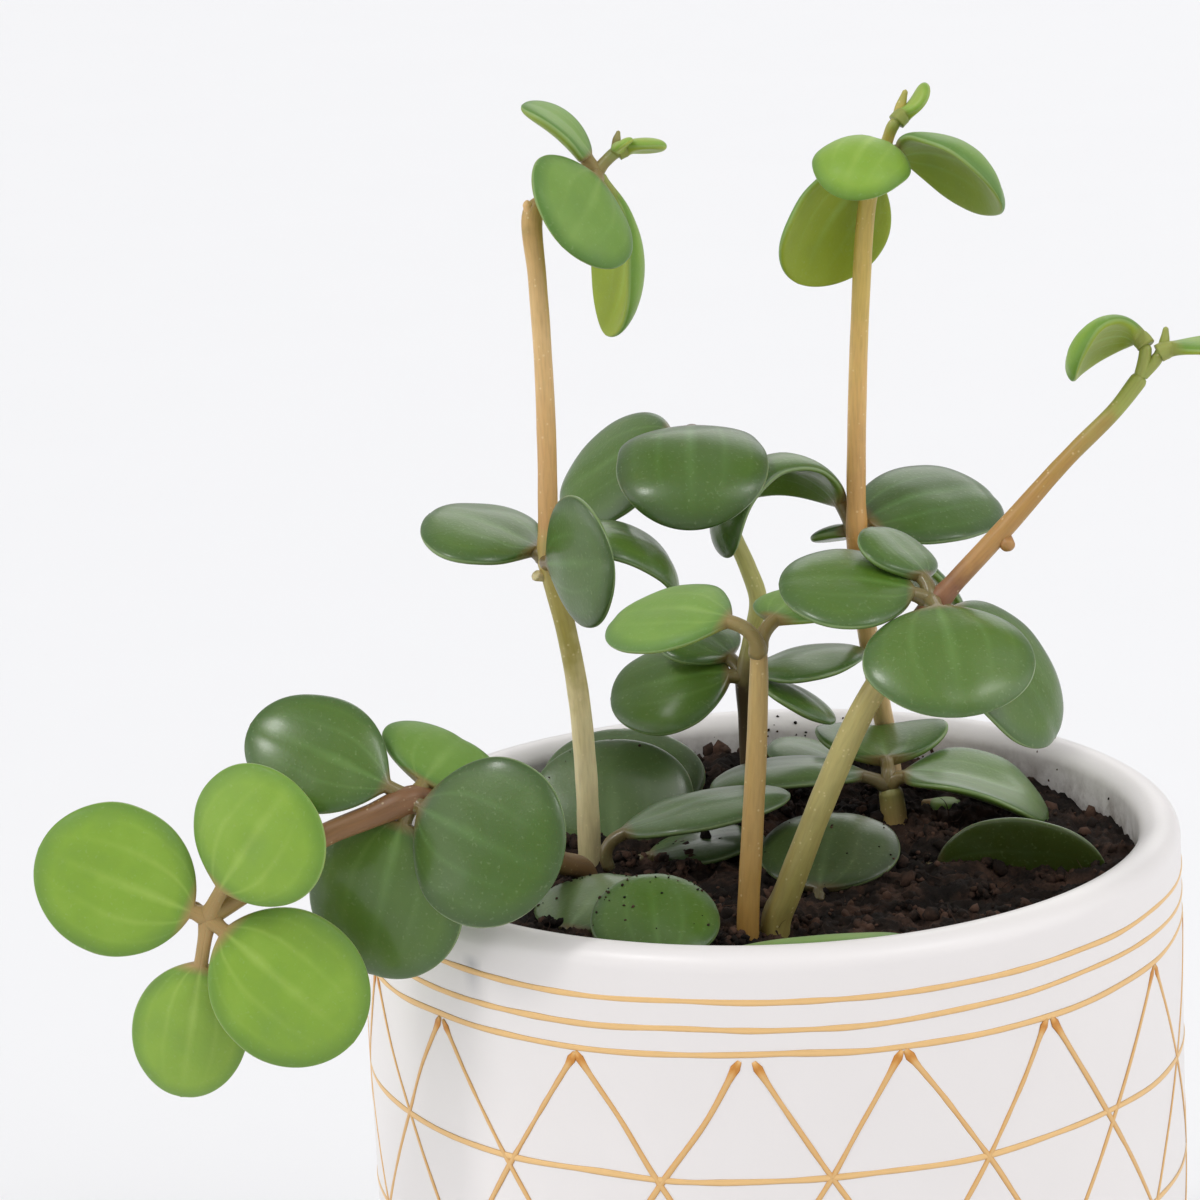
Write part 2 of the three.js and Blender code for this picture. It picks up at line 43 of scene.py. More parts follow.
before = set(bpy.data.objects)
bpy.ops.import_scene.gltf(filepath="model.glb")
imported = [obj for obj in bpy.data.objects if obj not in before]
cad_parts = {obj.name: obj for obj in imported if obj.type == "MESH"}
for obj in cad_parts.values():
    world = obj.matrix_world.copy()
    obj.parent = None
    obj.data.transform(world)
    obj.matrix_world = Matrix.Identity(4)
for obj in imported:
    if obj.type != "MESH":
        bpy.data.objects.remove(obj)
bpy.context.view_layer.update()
BODY = "root"
MM = 0.001

# ---------------------------------------------------------------- named sizes

POT_RADIUS = 62.5
POT_HEIGHT = 110.0
POT_WALL = 6.3
POT_FLOOR = 7.0
FOOT_ROUND = 3.0
LIP_ROUND = POT_WALL / 2
POT_INNER = POT_RADIUS - POT_WALL

WALL_LOW, WALL_HIGH = 8, 104  # the wall's rows lie between these heights
RING_HEIGHTS = (102.5, 98.5, 94.5)  # the three rings below the lip
ROW_HEIGHTS = (75.6, 56.8, 38.0, 19.2)  # the level lines of the lattice
TRIANGLES = 16
FIRST_NODE = 6.0  # degrees from the front to a crossing on the highest row
# The painter's hand: how far each apex sits off its even place, in degrees, from the first crossing on.
APEX_DRIFT = (-0.7, -1.1, 1.3, 0.4, -0.6, 0.9, -0.3, 0.5, -0.8, 0.2, 0.7, -0.5, 0.3, -1.5, 0.0, 1.0)
OPEN_APEX = 15  # the apex whose two strokes don't quite meet
SLANTED_HEAVINESS = 0.3  # how much more paint a slanted stroke carries than a ring
LEAF_SHADOW_SPOT = (-43.8, -44.6)  # x and y of a faint grey painted shadow of the trailing leaves on the outside

SOIL_LEVEL = 100.6
SOIL_BACK_RISE = 2.6
SOIL_RISE_END = 45  # how far behind the middle it reaches that height
SOIL_SHOULDER = 90  # height up to which its side is straight
CLOD_COUNT = 90
CLOD_RADIUS = (4, 8)
CLOD_HEIGHT = (0.3, 1.9)
SOIL_REACH = POT_INNER - 0.1
CLUSTERS, CLUSTER_CRUMBS = 110, 22  # lumps of clinging crumbs, and crumbs in each
FIBRE_DRYNESS = 0.45
# Fibres that stick up along the inner wall at the back: start, way, length and thickness.
WALL_FIBRES = (
    ((22.5, 51.3, 104.6), (0.05, 0.0, 1.0), 4.6, 0.45),
    ((27.5, 48.8, 104.2), (-0.12, 0.0, 1.0), 2.8, 0.7),
)
HIGH_DIRT, LOW_DIRT = 26, 44  # crumbs on the inner wall: near the lip, and low over its back half
LITTER = {"soil_front": 34, "soil_flat_left": 26, "soil_dark": 14, "soil_back_left": 7}  # specks on leaves

BURIED = 12.0  # length of each stem below its first point
THICKNESS = 2.4  # of a blade in its middle
STALK = 2.0  # thickness of a leaf's stalk
BLUNT = 0.08  # how slim a blade is near its stalk, where its row doesn't say
EDGE_POWER = 0.75  # below 1, a blade's section is fuller than an ellipse
WALK = 300  # small steps that a midrib is walked in
WALK_ROUNDS = 4  # times that it is walked, each time with a better length
WALK_CORRECTION = 1.2  # exponent of the correction to that length

# How finely each surface is divided: along it and round it.
POT_AROUND = 288
RING_POINTS, STROKE_POINTS = 480, 72
SOIL_RINGS, SOIL_AROUND = 130, 420
FIBRE_STEPS, FIBRE_AROUND = 7, 4
STEM_STEPS, STEM_AROUND = 12, 28  # steps between two of a stem's given points
STALK_SECTIONS, BLADE_SECTIONS, LEAF_AROUND = 8, 52, 40

# Seeds of the random draws.
SEEDS = {
    "pot": 5, "ring rise": 60, "slow ring rise": 80, "ring width": 100, "slow ring width": 120,
    "stroke": 200, "stroke width": 201, "slow stroke width": 202, "stroke start": 203,
    "clods": 41, "dry patches": 9, "dry grains": 10, "crumbs": 17, "crumb shapes": 18,
    "fibres": 23, "fibre bends": 24, "dirt": 31, "dirt shapes": 32, "litter": 47, "litter shapes": 48,
    "stems": 500, "leaves": 300, "tints": 71,
}

# Each sun: where it stands, how wide it looks in degrees, and its share of the key light's strength.
SUNS = {
    "key": ((-0.6, -0.6, 1.0), 30, 0.15),
    "second": ((0.6, -0.6, 0.9), 30, 0.25),
    "side": ((0.95, -0.3, 0.3), 50, 0.6),
    "far_side": ((-0.98, -0.2, 0.12), 60, 0.85),
    "back": ((0.2, 0.9, 0.6), 40, 0.35),
    "left_glint": ((-0.45, -0.33, 0.8), 11, 0.55),
    "right_glint": ((0.5, -0.35, 0.7), 11, 0.2),
    "low_glint": ((-0.98, -0.16, 0.03), 12, 0.05),
}
CAMERA_PLACE = (-0.0049, -0.727, 0.339)  # metres
CAMERA_PITCH, CAMERA_ROLL, CAMERA_YAW = 14.9, -2.7, -1.5  # degrees
CAMERA_LENS, CAMERA_SENSOR = 150, 36  # focal length and width of the sensor
FLOOR_REACH = 6.0  # metres
FLOOR_DROP = 0.02  # how far the floor lies below the foot

# STEMS, NODES, LEAVES and LEAFLETS repeat the tables of the part's source.
# Each stem: points of its trunk from the soil to the tip, as x, y, z and the diameter there, and its
# shoots: short side tubes such as leaf stalks, buds and scars.
STEMS = {
    "left": {
        "trunk": [
            (-27.6, 8.7, 102.5, 3.5), (-27.6, 8.5, 117.9, 3.4), (-28.2, 8.0, 129.3, 3.3),
            (-29.5, 7.5, 139.0, 3.2), (-31.2, 7.5, 147.7, 3.3), (-31.6, 7.5, 150.4, 3.6),
            (-31.5, 7.5, 154.8, 3.1), (-31.1, 8.0, 167.1, 2.9), (-31.0, 8.6, 180.9, 2.8),
            (-31.3, 9.4, 193.0, 2.8), (-31.5, 10.0, 202.9, 3.2), (-30.2, 10.5, 204.5, 2.5),
            (-26.6, 11.5, 206.1, 2.1), (-22.2, 12.0, 208.1, 2.2), (-20.4, 12.5, 209.9, 1.8),
            (-18.7, 13.0, 211.2, 1.9), (-17.5, 13.0, 211.3, 1.2),
        ],
        "shoots": [
            [(-32.6, 7.3, 147.6, 1.6), (-33.6, 6.6, 148.0, 1.7), (-34.0, 6.3, 148.4, 0.9)],
            [(-31.6, 9.8, 202.2, 2.2), (-32.2, 9.4, 204.4, 1.5), (-32.3, 9.3, 205.2, 0.7)],
            [(-18.9, 13.0, 211.0, 1.5), (-18.6, 13.6, 212.8, 1.3), (-18.2, 14.0, 214.3, 0.6)],
        ],
    },
    "tall": {
        "trunk": [
            (20.6, 43.0, 100.5, 3.2), (20.0, 41.0, 108.7, 3.2), (18.6, 36.0, 118.5, 3.2),
            (16.7, 28.0, 133.1, 3.1), (15.6, 20.0, 149.2, 3.6), (15.6, 19.6, 154.5, 3.0),
            (16.1, 18.8, 167.3, 2.9), (16.9, 18.0, 181.5, 2.8), (18.4, 16.5, 199.4, 2.8),
            (19.5, 16.0, 204.8, 2.9), (21.1, 16.0, 208.1, 2.3), (22.1, 16.0, 211.1, 1.8),
            (22.9, 15.5, 213.0, 1.9), (23.9, 15.0, 214.0, 1.3),
        ],
        "shoots": [
            [(23.2, 15.4, 213.3, 1.5), (24.0, 16.2, 215.4, 1.6), (25.0, 16.6, 218.2, 0.8)],
        ],
    },
    "right": {
        "trunk": [
            (0.5, -27.0, 102.8, 4.4), (2.1, -27.5, 106.8, 4.2), (8.0, -28.0, 121.4, 3.9),
            (14.6, -29.0, 135.8, 3.7), (20.6, -29.5, 144.8, 3.5), (24.9, -30.0, 150.6, 3.8),
            (28.3, -29.0, 154.0, 2.9), (35.4, -28.0, 161.1, 2.8), (41.9, -26.5, 167.7, 2.5),
            (46.1, -25.0, 171.6, 2.4), (52.1, -23.0, 176.8, 2.4), (56.3, -22.0, 181.7, 2.6),
        ],
        "shoots": [
            [(56.0, -22.0, 181.4, 2.0), (56.6, -22.0, 184.2, 1.9), (56.8, -22.0, 186.2, 1.8)],
            [(56.2, -22.0, 181.6, 1.9), (58.0, -22.1, 183.5, 1.8), (58.8, -22.2, 184.8, 1.7)],
            [(57.9, -22.1, 183.2, 1.5), (59.4, -21.6, 186.0, 1.5), (59.8, -21.2, 188.4, 0.8)],
            [(35.4, -28.0, 159.5, 2.4), (35.9, -29.2, 158.8, 2.1), (36.0, -29.7, 158.5, 1.6)],
        ],
    },
    "front": {
        "trunk": [
            (-3.7, -29.5, 103.1, 3.3), (-2.6, -28.5, 115.8, 3.2), (-1.2, -27.5, 132.3, 3.0),
            (-0.6, -27.0, 144.2, 2.6), (-0.9, -27.0, 145.7, 2.0), (-1.1, -27.0, 146.4, 0.8),
        ],
        "shoots": [],
    },
    "middle": {
        "trunk": [
            (-1.6, 31.0, 98.4, 2.6), (-2.5, 30.0, 108.7, 2.5), (-2.6, 28.0, 117.6, 2.5),
            (-2.4, 26.0, 125.0, 3.3), (-1.5, 25.0, 131.4, 2.4), (0.0, 24.0, 138.1, 2.9),
            (-1.4, 24.0, 143.3, 2.7), (-3.5, 23.5, 148.8, 2.6), (-6.4, 23.0, 157.0, 2.5),
            (-9.0, 23.0, 164.6, 2.7), (-9.3, 23.0, 166.0, 1.8),
        ],
        "shoots": [],
    },
    "short": {
        "trunk": [
            (20.0, 22.0, 101.1, 4.2), (19.9, 22.0, 102.9, 4.0), (19.6, 22.0, 106.2, 3.8),
            (19.3, 22.0, 108.1, 3.2),
        ],
        "shoots": [],
    },
    "trailing": {
        "trunk": [
            (-28.1, 2.0, 101.5, 3.6), (-31.7, -6.0, 106.3, 3.5), (-37.1, -18.0, 113.1, 3.4),
            (-43.4, -34.0, 122.0, 3.3), (-50.6, -46.0, 129.4, 4.2), (-56.9, -47.5, 127.6, 3.5),
            (-64.1, -49.0, 125.2, 3.3), (-72.6, -50.5, 119.7, 3.2), (-80.4, -52.0, 115.0, 3.0),
            (-81.6, -52.2, 114.2, 2.2),
        ],
        "shoots": [
            [(-80.8, -52.0, 114.8, 1.6), (-81.8, -51.6, 116.2, 1.6), (-82.2, -51.4, 117.2, 0.8)],
        ],
    },
}

# The places on the stems that leaves grow from.
NODES = {
    "left_mid": (-31.8, 7.5, 149.9),
    "left_tip": (-22.2, 12.0, 207.9),
    "left_bud": (-18.6, 13.0, 211.2),
    "tall_mid": (15.4, 20.0, 149.2),
    "tall_tip": (21.1, 16.0, 208.1),
    "tall_bud": (23.4, 15.2, 213.6),
    "right_mid": (24.5, -30.0, 151.2),
    "right_stalk": (56.8, -22.0, 185.9),
    "right_tip": (58.6, -22.2, 184.7),
    "front_tip": (-0.7, -27.0, 143.6),
    "middle_mid": (-2.4, 26.0, 125.2),
    "middle_tip": (-9.2, 23.0, 165.2),
    "short_tip": (19.3, 22.0, 107.7),
    "trailing_mid": (-50.9, -46.0, 129.2),
    "trailing_tip": (-80.4, -52.0, 115.0),
}

OLD = "old_leaf"
YOUNG = "young_leaf"

# Each leaf: its slot and start, the azimuth, pitch and roll of the line from start to tip, its length and
# width, the arch of its midrib, the cup of its sides, the length of its stalk and how far that first stands
# up. Last, if it isn't the usual one, how slim the blade is near its stalk.
LEAVES = {
    "left_tip_top": (YOUNG, "left_tip", 174, 46, -5, 15, 10.5, 40, -40, 3, 20, -0.2),
    "left_tip_front": (YOUNG, "left_tip", -106, -24, -55, 18.2, 20.5, 40, 20, 2.5, 20, -0.05),
    "left_tip_lower": (YOUNG, "left_tip", 75, -83, 53, 25.3, 17.5, 80, 110, 3.5, 10, 0.6),
    "left_mid_left": (OLD, "left_mid", 157, 17, -6, 20.5, 22, 25, 30, 2.5, 20),
    "left_mid_front": (OLD, "left_mid", -58, 12, 91, 20, 20, 20, 8, 2.8, 20),
    "left_mid_right": (OLD, "left_mid", 15, -22, 8, 21, 17, 130, 60, 2.5, 30),
    "tall_tip_front": (YOUNG, "tall_tip", -115, -12, -14, 16, 15.5, 105, 70, 2.5, 20),
    "tall_tip_right": (YOUNG, "tall_tip", -32, -16, -45, 21, 19, 90, 100, 2.5, 20),
    "tall_tip_left": (YOUNG, "tall_tip", 177, -55, 48, 23, 23, 50, 85, 3, 20),
    "tall_mid_curved": (OLD, "tall_mid", -152, -1, 28, 22, 17, 180, 100, 5, 0),
    "tall_mid_right": (OLD, "tall_mid", 27, 3, 22, 25, 20.5, 60, 30, 2.5, 20, -0.15),
    "tall_mid_lower": (OLD, "tall_mid", -4, -40, -25, 21, 14.5, 30, 30, 3, 10),
    "tall_mid_back": (OLD, "tall_mid", 110, -18, 0, 8.5, 11, 30, 30, 2, 20),
    "right_mid_left": (OLD, "right_mid", -180, 8.5, -20, 22, 20, 30, 25, 3, 20),
    "right_mid_back": (OLD, "right_mid", 126, 34, 14, 15.5, 13.5, 15, 25, 4, 40),
    "right_mid_front": (OLD, "right_mid", -81, -31, 0, 23, 25, 50, 30, 4.5, 20, -0.1),
    "right_mid_right": (OLD, "right_mid", -4, -50, 25, 27.2, 22, 35, 20, 3, 20),
    "right_tip_left": (YOUNG, "right_stalk", -165, -19, 35, 11.3, 16, 150, 60, 1.5, 20),
    "right_tip_right": (YOUNG, "right_tip", 5, 1, -8, 21, 18, 15, 30, 2, 20),
    "front_tip_left": (YOUNG, "front_tip", 150, 5, -22, 24.5, 17, 40, 40, 7.5, 95, 0.25),
    "front_tip_right": (YOUNG, "front_tip", 50, 12, 0, 21, 17, 40, 40, 6, 50),
    "middle_tip_front": (OLD, "middle_tip", -91, -25, 0, 23.5, 23.5, 90, 30, 2.5, 10, -0.3),
    "middle_tip_left": (OLD, "middle_tip", 162, -28, -35, 25, 22, 30, 30, 3, 20),
    "middle_mid_left": (OLD, "middle_mid", 171, -9.5, -32, 22, 18.8, 20, 35, 2.5, 20),
    "middle_mid_back": (OLD, "middle_mid", 143, 25, -10, 17, 15, 30, 30, 4, 20),
    "middle_mid_right": (OLD, "middle_mid", -12, 11, -3, 19.5, 21, 30, 40, 2.5, 20),
    "middle_mid_lower": (OLD, "middle_mid", -30, -22, -20, 16, 16, 30, 30, 3, 10),
    "trailing_mid_back": (OLD, "trailing_mid", 165, 24, -50, 26, 18, 25, 20, 4, 20, 0.35),
    "trailing_mid_light": (YOUNG, "trailing_mid", 60, 20, 30, 15, 20, 40, 30, 3, 20),
    "trailing_mid_front": (OLD, "trailing_mid", -29, -20, 66, 25, 25, 30, 20, 2.5, 20),
    "trailing_mid_lower": (OLD, "trailing_mid", 170.5, -73.5, -80, 27.2, 24, 25, 20, 3.2, 20),
    "trailing_tip_left": (YOUNG, "trailing_tip", 175, 24, -75, 26, 22, 15, 20, 2.5, 20),
    "trailing_tip_top": (YOUNG, "trailing_tip", -18, 55, 80, 25.5, 22, 15, 20, 6, 20),
    "trailing_tip_low": (YOUNG, "trailing_tip", -5, -44, 72, 27.5, 22, 20, 15, 3, 20),
    "trailing_tip_bottom": (YOUNG, "trailing_tip", 150, -76, -120, 29, 17, 10, 28, 7, 20),
    "soil_back_left": (OLD, (-24, 18, 96.5), 90, 55, 0, 22, 26, 20, 20, 3, 0),
    "soil_behind": (OLD, (-23, 31, 97), 86, 50, 4, 20, 26, 20, 20, 3, 0),
    "soil_long": (OLD, (-24.5, 3, 102), 10, 18, 0, 30, 17, 25, 25, 7, 90),
    "soil_under": (OLD, (-20, 11, 100.5), 12, 6, 0, 20, 15, 15, 20, 2, 0),
    "soil_flat_left": (OLD, (-31, -23, 99.5), 62, 14, 0, 18.5, 20, 15, 20, 2, 0),
    "soil_front": (YOUNG, (-16.5, -43, 100), 95, 30, 0, 20, 19, 20, 25, 2, 0),
    "soil_rim": (YOUNG, (-7.5, -46, 104.2), 8, 1, -18, 26.5, 15, 5, 15, 1.5, 0),
    "soil_dark": (OLD, (7, -11, 100), 78, 22, 0, 21, 22, 30, 25, 2, 0),
    "soil_upright": (OLD, (24, 3, 100), -14, 0, -80, 28, 19, 10, 20, 1.5, 0),
    "short_left": (OLD, "short_tip", -179, 2, 0, 28, 14, 40, 25, 4.5, 10),
    "short_top": (OLD, (15, 41, 102), 162, 22, 0, 16, 15, 40, 25, 3, 20),
    "short_behind": (OLD, "short_tip", 94, 20, 0, 16, 22, 10, -50, 4.5, 80),
    "short_right": (OLD, "short_tip", -6, -13, 4, 25.3, 19, 50, -40, 3, 50),
    "short_small": (YOUNG, (25, 29, 102), -25, 4, 0, 6, 5.5, 20, 20, 1.5, 0),
}

# Small folded leaves at the growing tips.
LEAFLETS = {
    "left_0": (YOUNG, "left_bud", 5, 2, -20, 7.5, 5, 40, 80, 1.5, 10),
    "left_1": (YOUNG, "left_bud", -60, 30, 20, 4.5, 3, 30, 60, 1, 10),
    "tall_0": (YOUNG, "tall_bud", 30, 45, -20, 7.5, 5, -30, 80, 1.5, 10),
}

# The tone of each leaf that isn't the usual one of its slot.
TONES = {
    "left_mid_front": "deep",
    "middle_tip_front": "deep",
    "tall_mid_right": "deep",
    "trailing_mid_front": "deep",
    "left_tip_top": "middle",
    "left_tip_front": "middle",
    "left_tip_lower": "sprout",
    "tall_tip_front": "sprout",
    "tall_tip_left": "sprout",
    "right_tip_left": "sprout",
    "right_tip_right": "sprout",
    "left_0": "bud",
    "left_1": "bud",
    "tall_0": "bud",
    "tall_tip_right": "middle",
    "front_tip_left": "middle",
    "front_tip_right": "middle",
    "trailing_mid_light": "middle",
    "soil_front": "mature",
    "soil_rim": "middle",
    "soil_back_left": "dusty",
    "soil_behind": "dusty",
    "soil_long": "dusty",
    "soil_under": "dusty",
    "soil_flat_left": "dusty",
    "soil_dark": "shaded",
    "soil_upright": "shaded",
    "short_left": "dusty",
}
USUAL_TONE = {OLD: "mature", YOUNG: "fresh"}

# The tones of young leaves, whose skin is matt.
MATT_TONES = ("middle", "fresh", "sprout", "bud")

# sRGB colours of each tone: the blade's middle, the zone along its margin, its veins, its underside
# and its stalk.
TONE_COLOURS = {
    "mature": ("527024", "476428", "6c8e45", "5f7c2c", "7c6c40"),
    "deep": ("486520", "3d5721", "608440", "55752a", "75633a"),
    "shaded": ("46572b", "3b4b28", "5d7044", "45531e", "5f5436"),
    "dusty": ("586e3e", "50643a", "6b8250", "556a30", "6f6240"),
    "middle": ("759741", "5f8338", "8aa856", "7f942f", "8c7a48"),
    "fresh": ("88aa3d", "719538", "a6c25c", "90a12e", "a68a58"),
    "sprout": ("88aa3d", "719538", "a6c25c", "98a92e", "9aa052"),
    "bud": ("a3ba58", "8fae48", "b6c974", "a8b84c", "9aa052"),
}

# sRGB colours along each stem from the soil to the tip.
STEM_COLOURS = {
    # The pale stops low on the left stem are partly its own pale beige and partly a painted highlight.
    "left": (
        (0.0, "b0a675"), (0.2, "dccfa0"), (0.28, "dccd98"), (0.37, "9e9344"), (0.46, "b5a55e"),
        (0.5, "c89c62"), (0.61, "cfa568"), (0.72, "dab67c"), (0.85, "c09c5c"), (0.9, "9c8444"),
        (0.95, "8a7c44"), (1.0, "8f9a50"),
    ),
    "tall": (
        (0.0, "e0c99a"), (0.35, "d2ad70"), (0.45, "8f6236"), (0.5, "cc9a54"), (0.57, "cc9f60"),
        (0.67, "dab06a"), (0.79, "d4b560"), (0.93, "c0a850"), (1.0, "9aa04a"),
    ),
    "right": (
        (0.0, "74642f"), (0.12, "8f8246"), (0.35, "b8ac6a"), (0.5, "b6a662"), (0.55, "85603a"),
        (0.62, "825636"), (0.7, "b0844a"), (0.82, "a8823f"), (0.9, "a08a44"), (0.96, "98a04c"),
    ),
    "front": ((0.0, "7d5a26"), (0.25, "a37c3c"), (0.5, "b39052"), (0.9, "b69a5c"), (1.0, "8f7440")),
    "middle": ((0.0, "4c3c2a"), (0.45, "5a4630"), (0.62, "bab66a"), (1.0, "ccc87a")),
    "short": ((0.0, "c2a674"), (0.5, "b8925c"), (1.0, "8b8a4a")),
    "trailing": ((0.0, "7c6440"), (0.4, "7a5a38"), (0.62, "6e4a2c"), (0.8, "876138"), (1.0, "948040")),
}

# ---------------------------------------------------------------- settings a user may change

COLOUR = {"size": 3, "min": 0, "max": 1, "subtype": "COLOR_GAMMA"}


class PotSettings(bpy.types.PropertyGroup):
    """Sizes and colours of the glazed pot and its gold lines."""

    line_width: FloatProperty(
        name="Line width", description="Width of a painted gold line", default=0.92 * MM, unit="LENGTH"
    )
    line_relief: FloatProperty(
        name="Line relief", description="How far the gold stands off the glaze", default=0.1 * MM,
        unit="LENGTH",
    )
    glaze: FloatVectorProperty(
        name="Glaze", description="Colour of the matte white glaze", default=(0.91, 0.893, 0.887), **COLOUR
    )
    gold: FloatVectorProperty(
        name="Gold", description="Colour of the gold paint", default=(0.87, 0.715, 0.49), **COLOUR
    )


class SoilSettings(bpy.types.PropertyGroup):
    """Grain and colours of the potting soil."""

    crumbs: IntProperty(name="Crumbs", description="Number of loose crumbs on the soil", default=1500, min=0)
    fibres: IntProperty(name="Fibres", description="Number of loose root fibres", default=170, min=0)
    dark: FloatVectorProperty(
        name="Dark soil", description="Colour of the damp soil", default=(0.14, 0.102, 0.08), **COLOUR
    )
    dry: FloatVectorProperty(
        name="Dry soil", description="Colour of the drier reddish crumbs", default=(0.33, 0.24, 0.195),
        **COLOUR,
    )


class StemSettings(bpy.types.PropertyGroup):
    """Finish of the stems."""

    grain: FloatProperty(
        name="Grain", description="Depth of the fine ridges along a stem", default=0.035 * MM, unit="LENGTH"
    )
    roughness: FloatProperty(
        name="Roughness", description="Roughness of the stem's skin", default=0.48, min=0, max=1
    )


class LeafSettings(bpy.types.PropertyGroup):
    """Finish of the leaves."""

    waviness: FloatProperty(
        name="Waviness", description="Depth of the slow waves in a blade", default=0.3 * MM, unit="LENGTH"
    )
    channel: FloatProperty(
        name="Channel", description="Depth of the channel over the midrib", default=0.22 * MM, unit="LENGTH"
    )
    roughness: FloatProperty(
        name="Roughness", description="Roughness of the waxy skin", default=0.42, min=0, max=1
    )


class StageSettings(bpy.types.PropertyGroup):
    """Floor and light."""

    key: FloatProperty(name="Key light", description="Strength of the large soft light", default=1.25, min=0)
    fill: FloatProperty(
        name="Fill light", description="Strength of the light from all round", default=0.54, min=0
    )
    floor: FloatVectorProperty(
        name="Floor", description="Colour of the floor", default=(0.935, 0.935, 0.94), **COLOUR
    )


# ---------------------------------------------------------------- small helpers


def smooth(x):
    """0 below 0, 1 above 1, and 3x^2 - 2x^3 between."""
    t = np.clip(x, 0.0, 1.0)
    return t * t * (3 - 2 * t)


def soft_noise(places, cell, seed):
    """Smooth noise in -1 to 1 at each place: random values on a lattice of that cell size, blended by
    the smooth step along each axis. Places are rows of 1 to 3 coordinates."""
    places = np.asarray(places, float) / cell
    low = np.floor(places).astype(int)
    part = smooth(places - low)
    size = 31
    table = np.random.default_rng(seed).uniform(-1, 1, (size,) * places.shape[1])
    total = np.zeros(len(places))
    for corner in np.ndindex(*(2,) * places.shape[1]):
        weight = np.prod(np.where(np.array(corner), part, 1 - part), axis=1)
        total += weight * table[tuple(((low + corner) % size).T)]
    return total


def unit(vectors):
    """Each row divided by its length."""
    return vectors / np.maximum(np.linalg.norm(vectors, axis=-1, keepdims=True), 1e-12)


def tube_faces(rows, around, closed=False):
    """Faces over rows of points that close round. Open tubes end in fans to two pole points, the last
    two of the mesh."""
    ring = np.arange(around)
    across = np.roll(ring, -1)
    steps = rows if closed else rows - 1
    first = (np.arange(steps) * around)[:, None]
    after = ((np.arange(steps) + 1) % rows * around)[:, None]
    quads = np.stack([first + ring, first + across, after + across, after + ring], -1).reshape(-1, 4)
    faces = quads.tolist()
    if not closed:
        start, end = rows * around, rows * around + 1
        last = (rows - 1) * around
        faces += np.stack([np.full(around, start), across, ring], -1).tolist()
        faces += np.stack([np.full(around, end), last + ring, last + across], -1).tolist()
    return faces


def with_poles(grid):
    """The grid's points row by row, then the middle of its first and of its last row."""
    return np.vstack([grid.reshape(-1, grid.shape[-1]), grid[0].mean(0), grid[-1].mean(0)])


def join_parts(parts):
    """Several meshes as one: the points, the faces and the point fields of each after the one before."""
    points, faces, fields, count = [], [], [], 0
    for part_points, part_faces, part_fields in parts:
        points.append(part_points)
        faces += [[index + count for index in face] for face in part_faces]
        fields.append(part_fields)
        count += len(part_points)
    return np.concatenate(points), faces, np.concatenate(fields)


def make_piece(name, points, faces, material, replaces=(), fields=None):
    """A smooth mesh object from millimetre points, riding on the body. Fields are named values for
    each point: one number or three."""
    mesh = bpy.data.meshes.new(name)
    mesh.from_pydata((np.asarray(points) * MM).tolist(), [], faces)
    mesh.polygons.foreach_set("use_smooth", np.ones(len(mesh.polygons), bool))
    for key, values in (fields or {}).items():
        values = np.asarray(values, np.float32)
        kind, slot_name = ("FLOAT", "value") if values.ndim == 1 else ("FLOAT_VECTOR", "vector")
        mesh.attributes.new(key, kind, "POINT").data.foreach_set(slot_name, values.ravel())
    mesh.materials.append(material)
    mesh.update()
    piece = bpy.data.objects.new(name, mesh)
    bpy.context.scene.collection.objects.link(piece)
    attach(piece, BODY)
    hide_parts(*replaces)
    return piece


# ---------------------------------------------------------------- materials


def linear(colour):
    """Linear colour with alpha from an sRGB hex string or three sRGB shares."""
    if isinstance(colour, str):
        colour = [int(colour[i : i + 2], 16) / 255 for i in (0, 2, 4)]
    return [c / 12.92 if c <= 0.04045 else ((c + 0.055) / 1.055) ** 2.4 for c in colour] + [1.0]


def add(tree, kind, inputs=None, **settings):
    """Adds a node, sets its properties, and sets or links its inputs by name or number."""
    node = tree.nodes.new("ShaderNode" + kind)
    for key, value in settings.items():
        setattr(node, key, value)
    for key, value in (inputs or {}).items():
        if isinstance(value, bpy.types.NodeSocket):
            tree.links.new(value, node.inputs[key])
        else:
            node.inputs[key].default_value = value
    return node


def set_ramp(node, stops):
    """Gives a colour ramp node its stops: places and colours."""
    ramp = node.color_ramp
    while len(ramp.elements) < len(stops):
        ramp.elements.new(0.5)
    for element, (place, colour) in zip(ramp.elements, stops):
        element.position = place
        element.color = colour
    return node.outputs["Color"]


def grey(value):
    """A linear grey with that value."""
    return (value, value, value, 1.0)


def new_material(name):
    """An empty node material and its tree."""
    material = bpy.data.materials.new(name)
    material.use_nodes = True
    material.node_tree.nodes.clear()
    return material, material.node_tree


def finish_material(tree, colour, bump=None, bump_distance=0.1 * MM, rough=None, **values):
    """Ends a material: the principled shader with uniform values on its own sockets, and a bump."""
    shader = add(tree, "BsdfPrincipled", {"Base Color": colour})
    for key, value in values.items():
        shader.inputs[key.replace("_", " ").title().replace("Ior", "IOR")].default_value = value
    if rough is not None:
        tree.links.new(rough, shader.inputs["Roughness"])
    if bump is not None:
        bumped = add(tree, "Bump", {"Height": bump, "Distance": bump_distance, "Strength": 1.0})
        tree.links.new(bumped.outputs["Normal"], shader.inputs["Normal"])
    add(tree, "OutputMaterial", {"Surface": shader.outputs[0]})


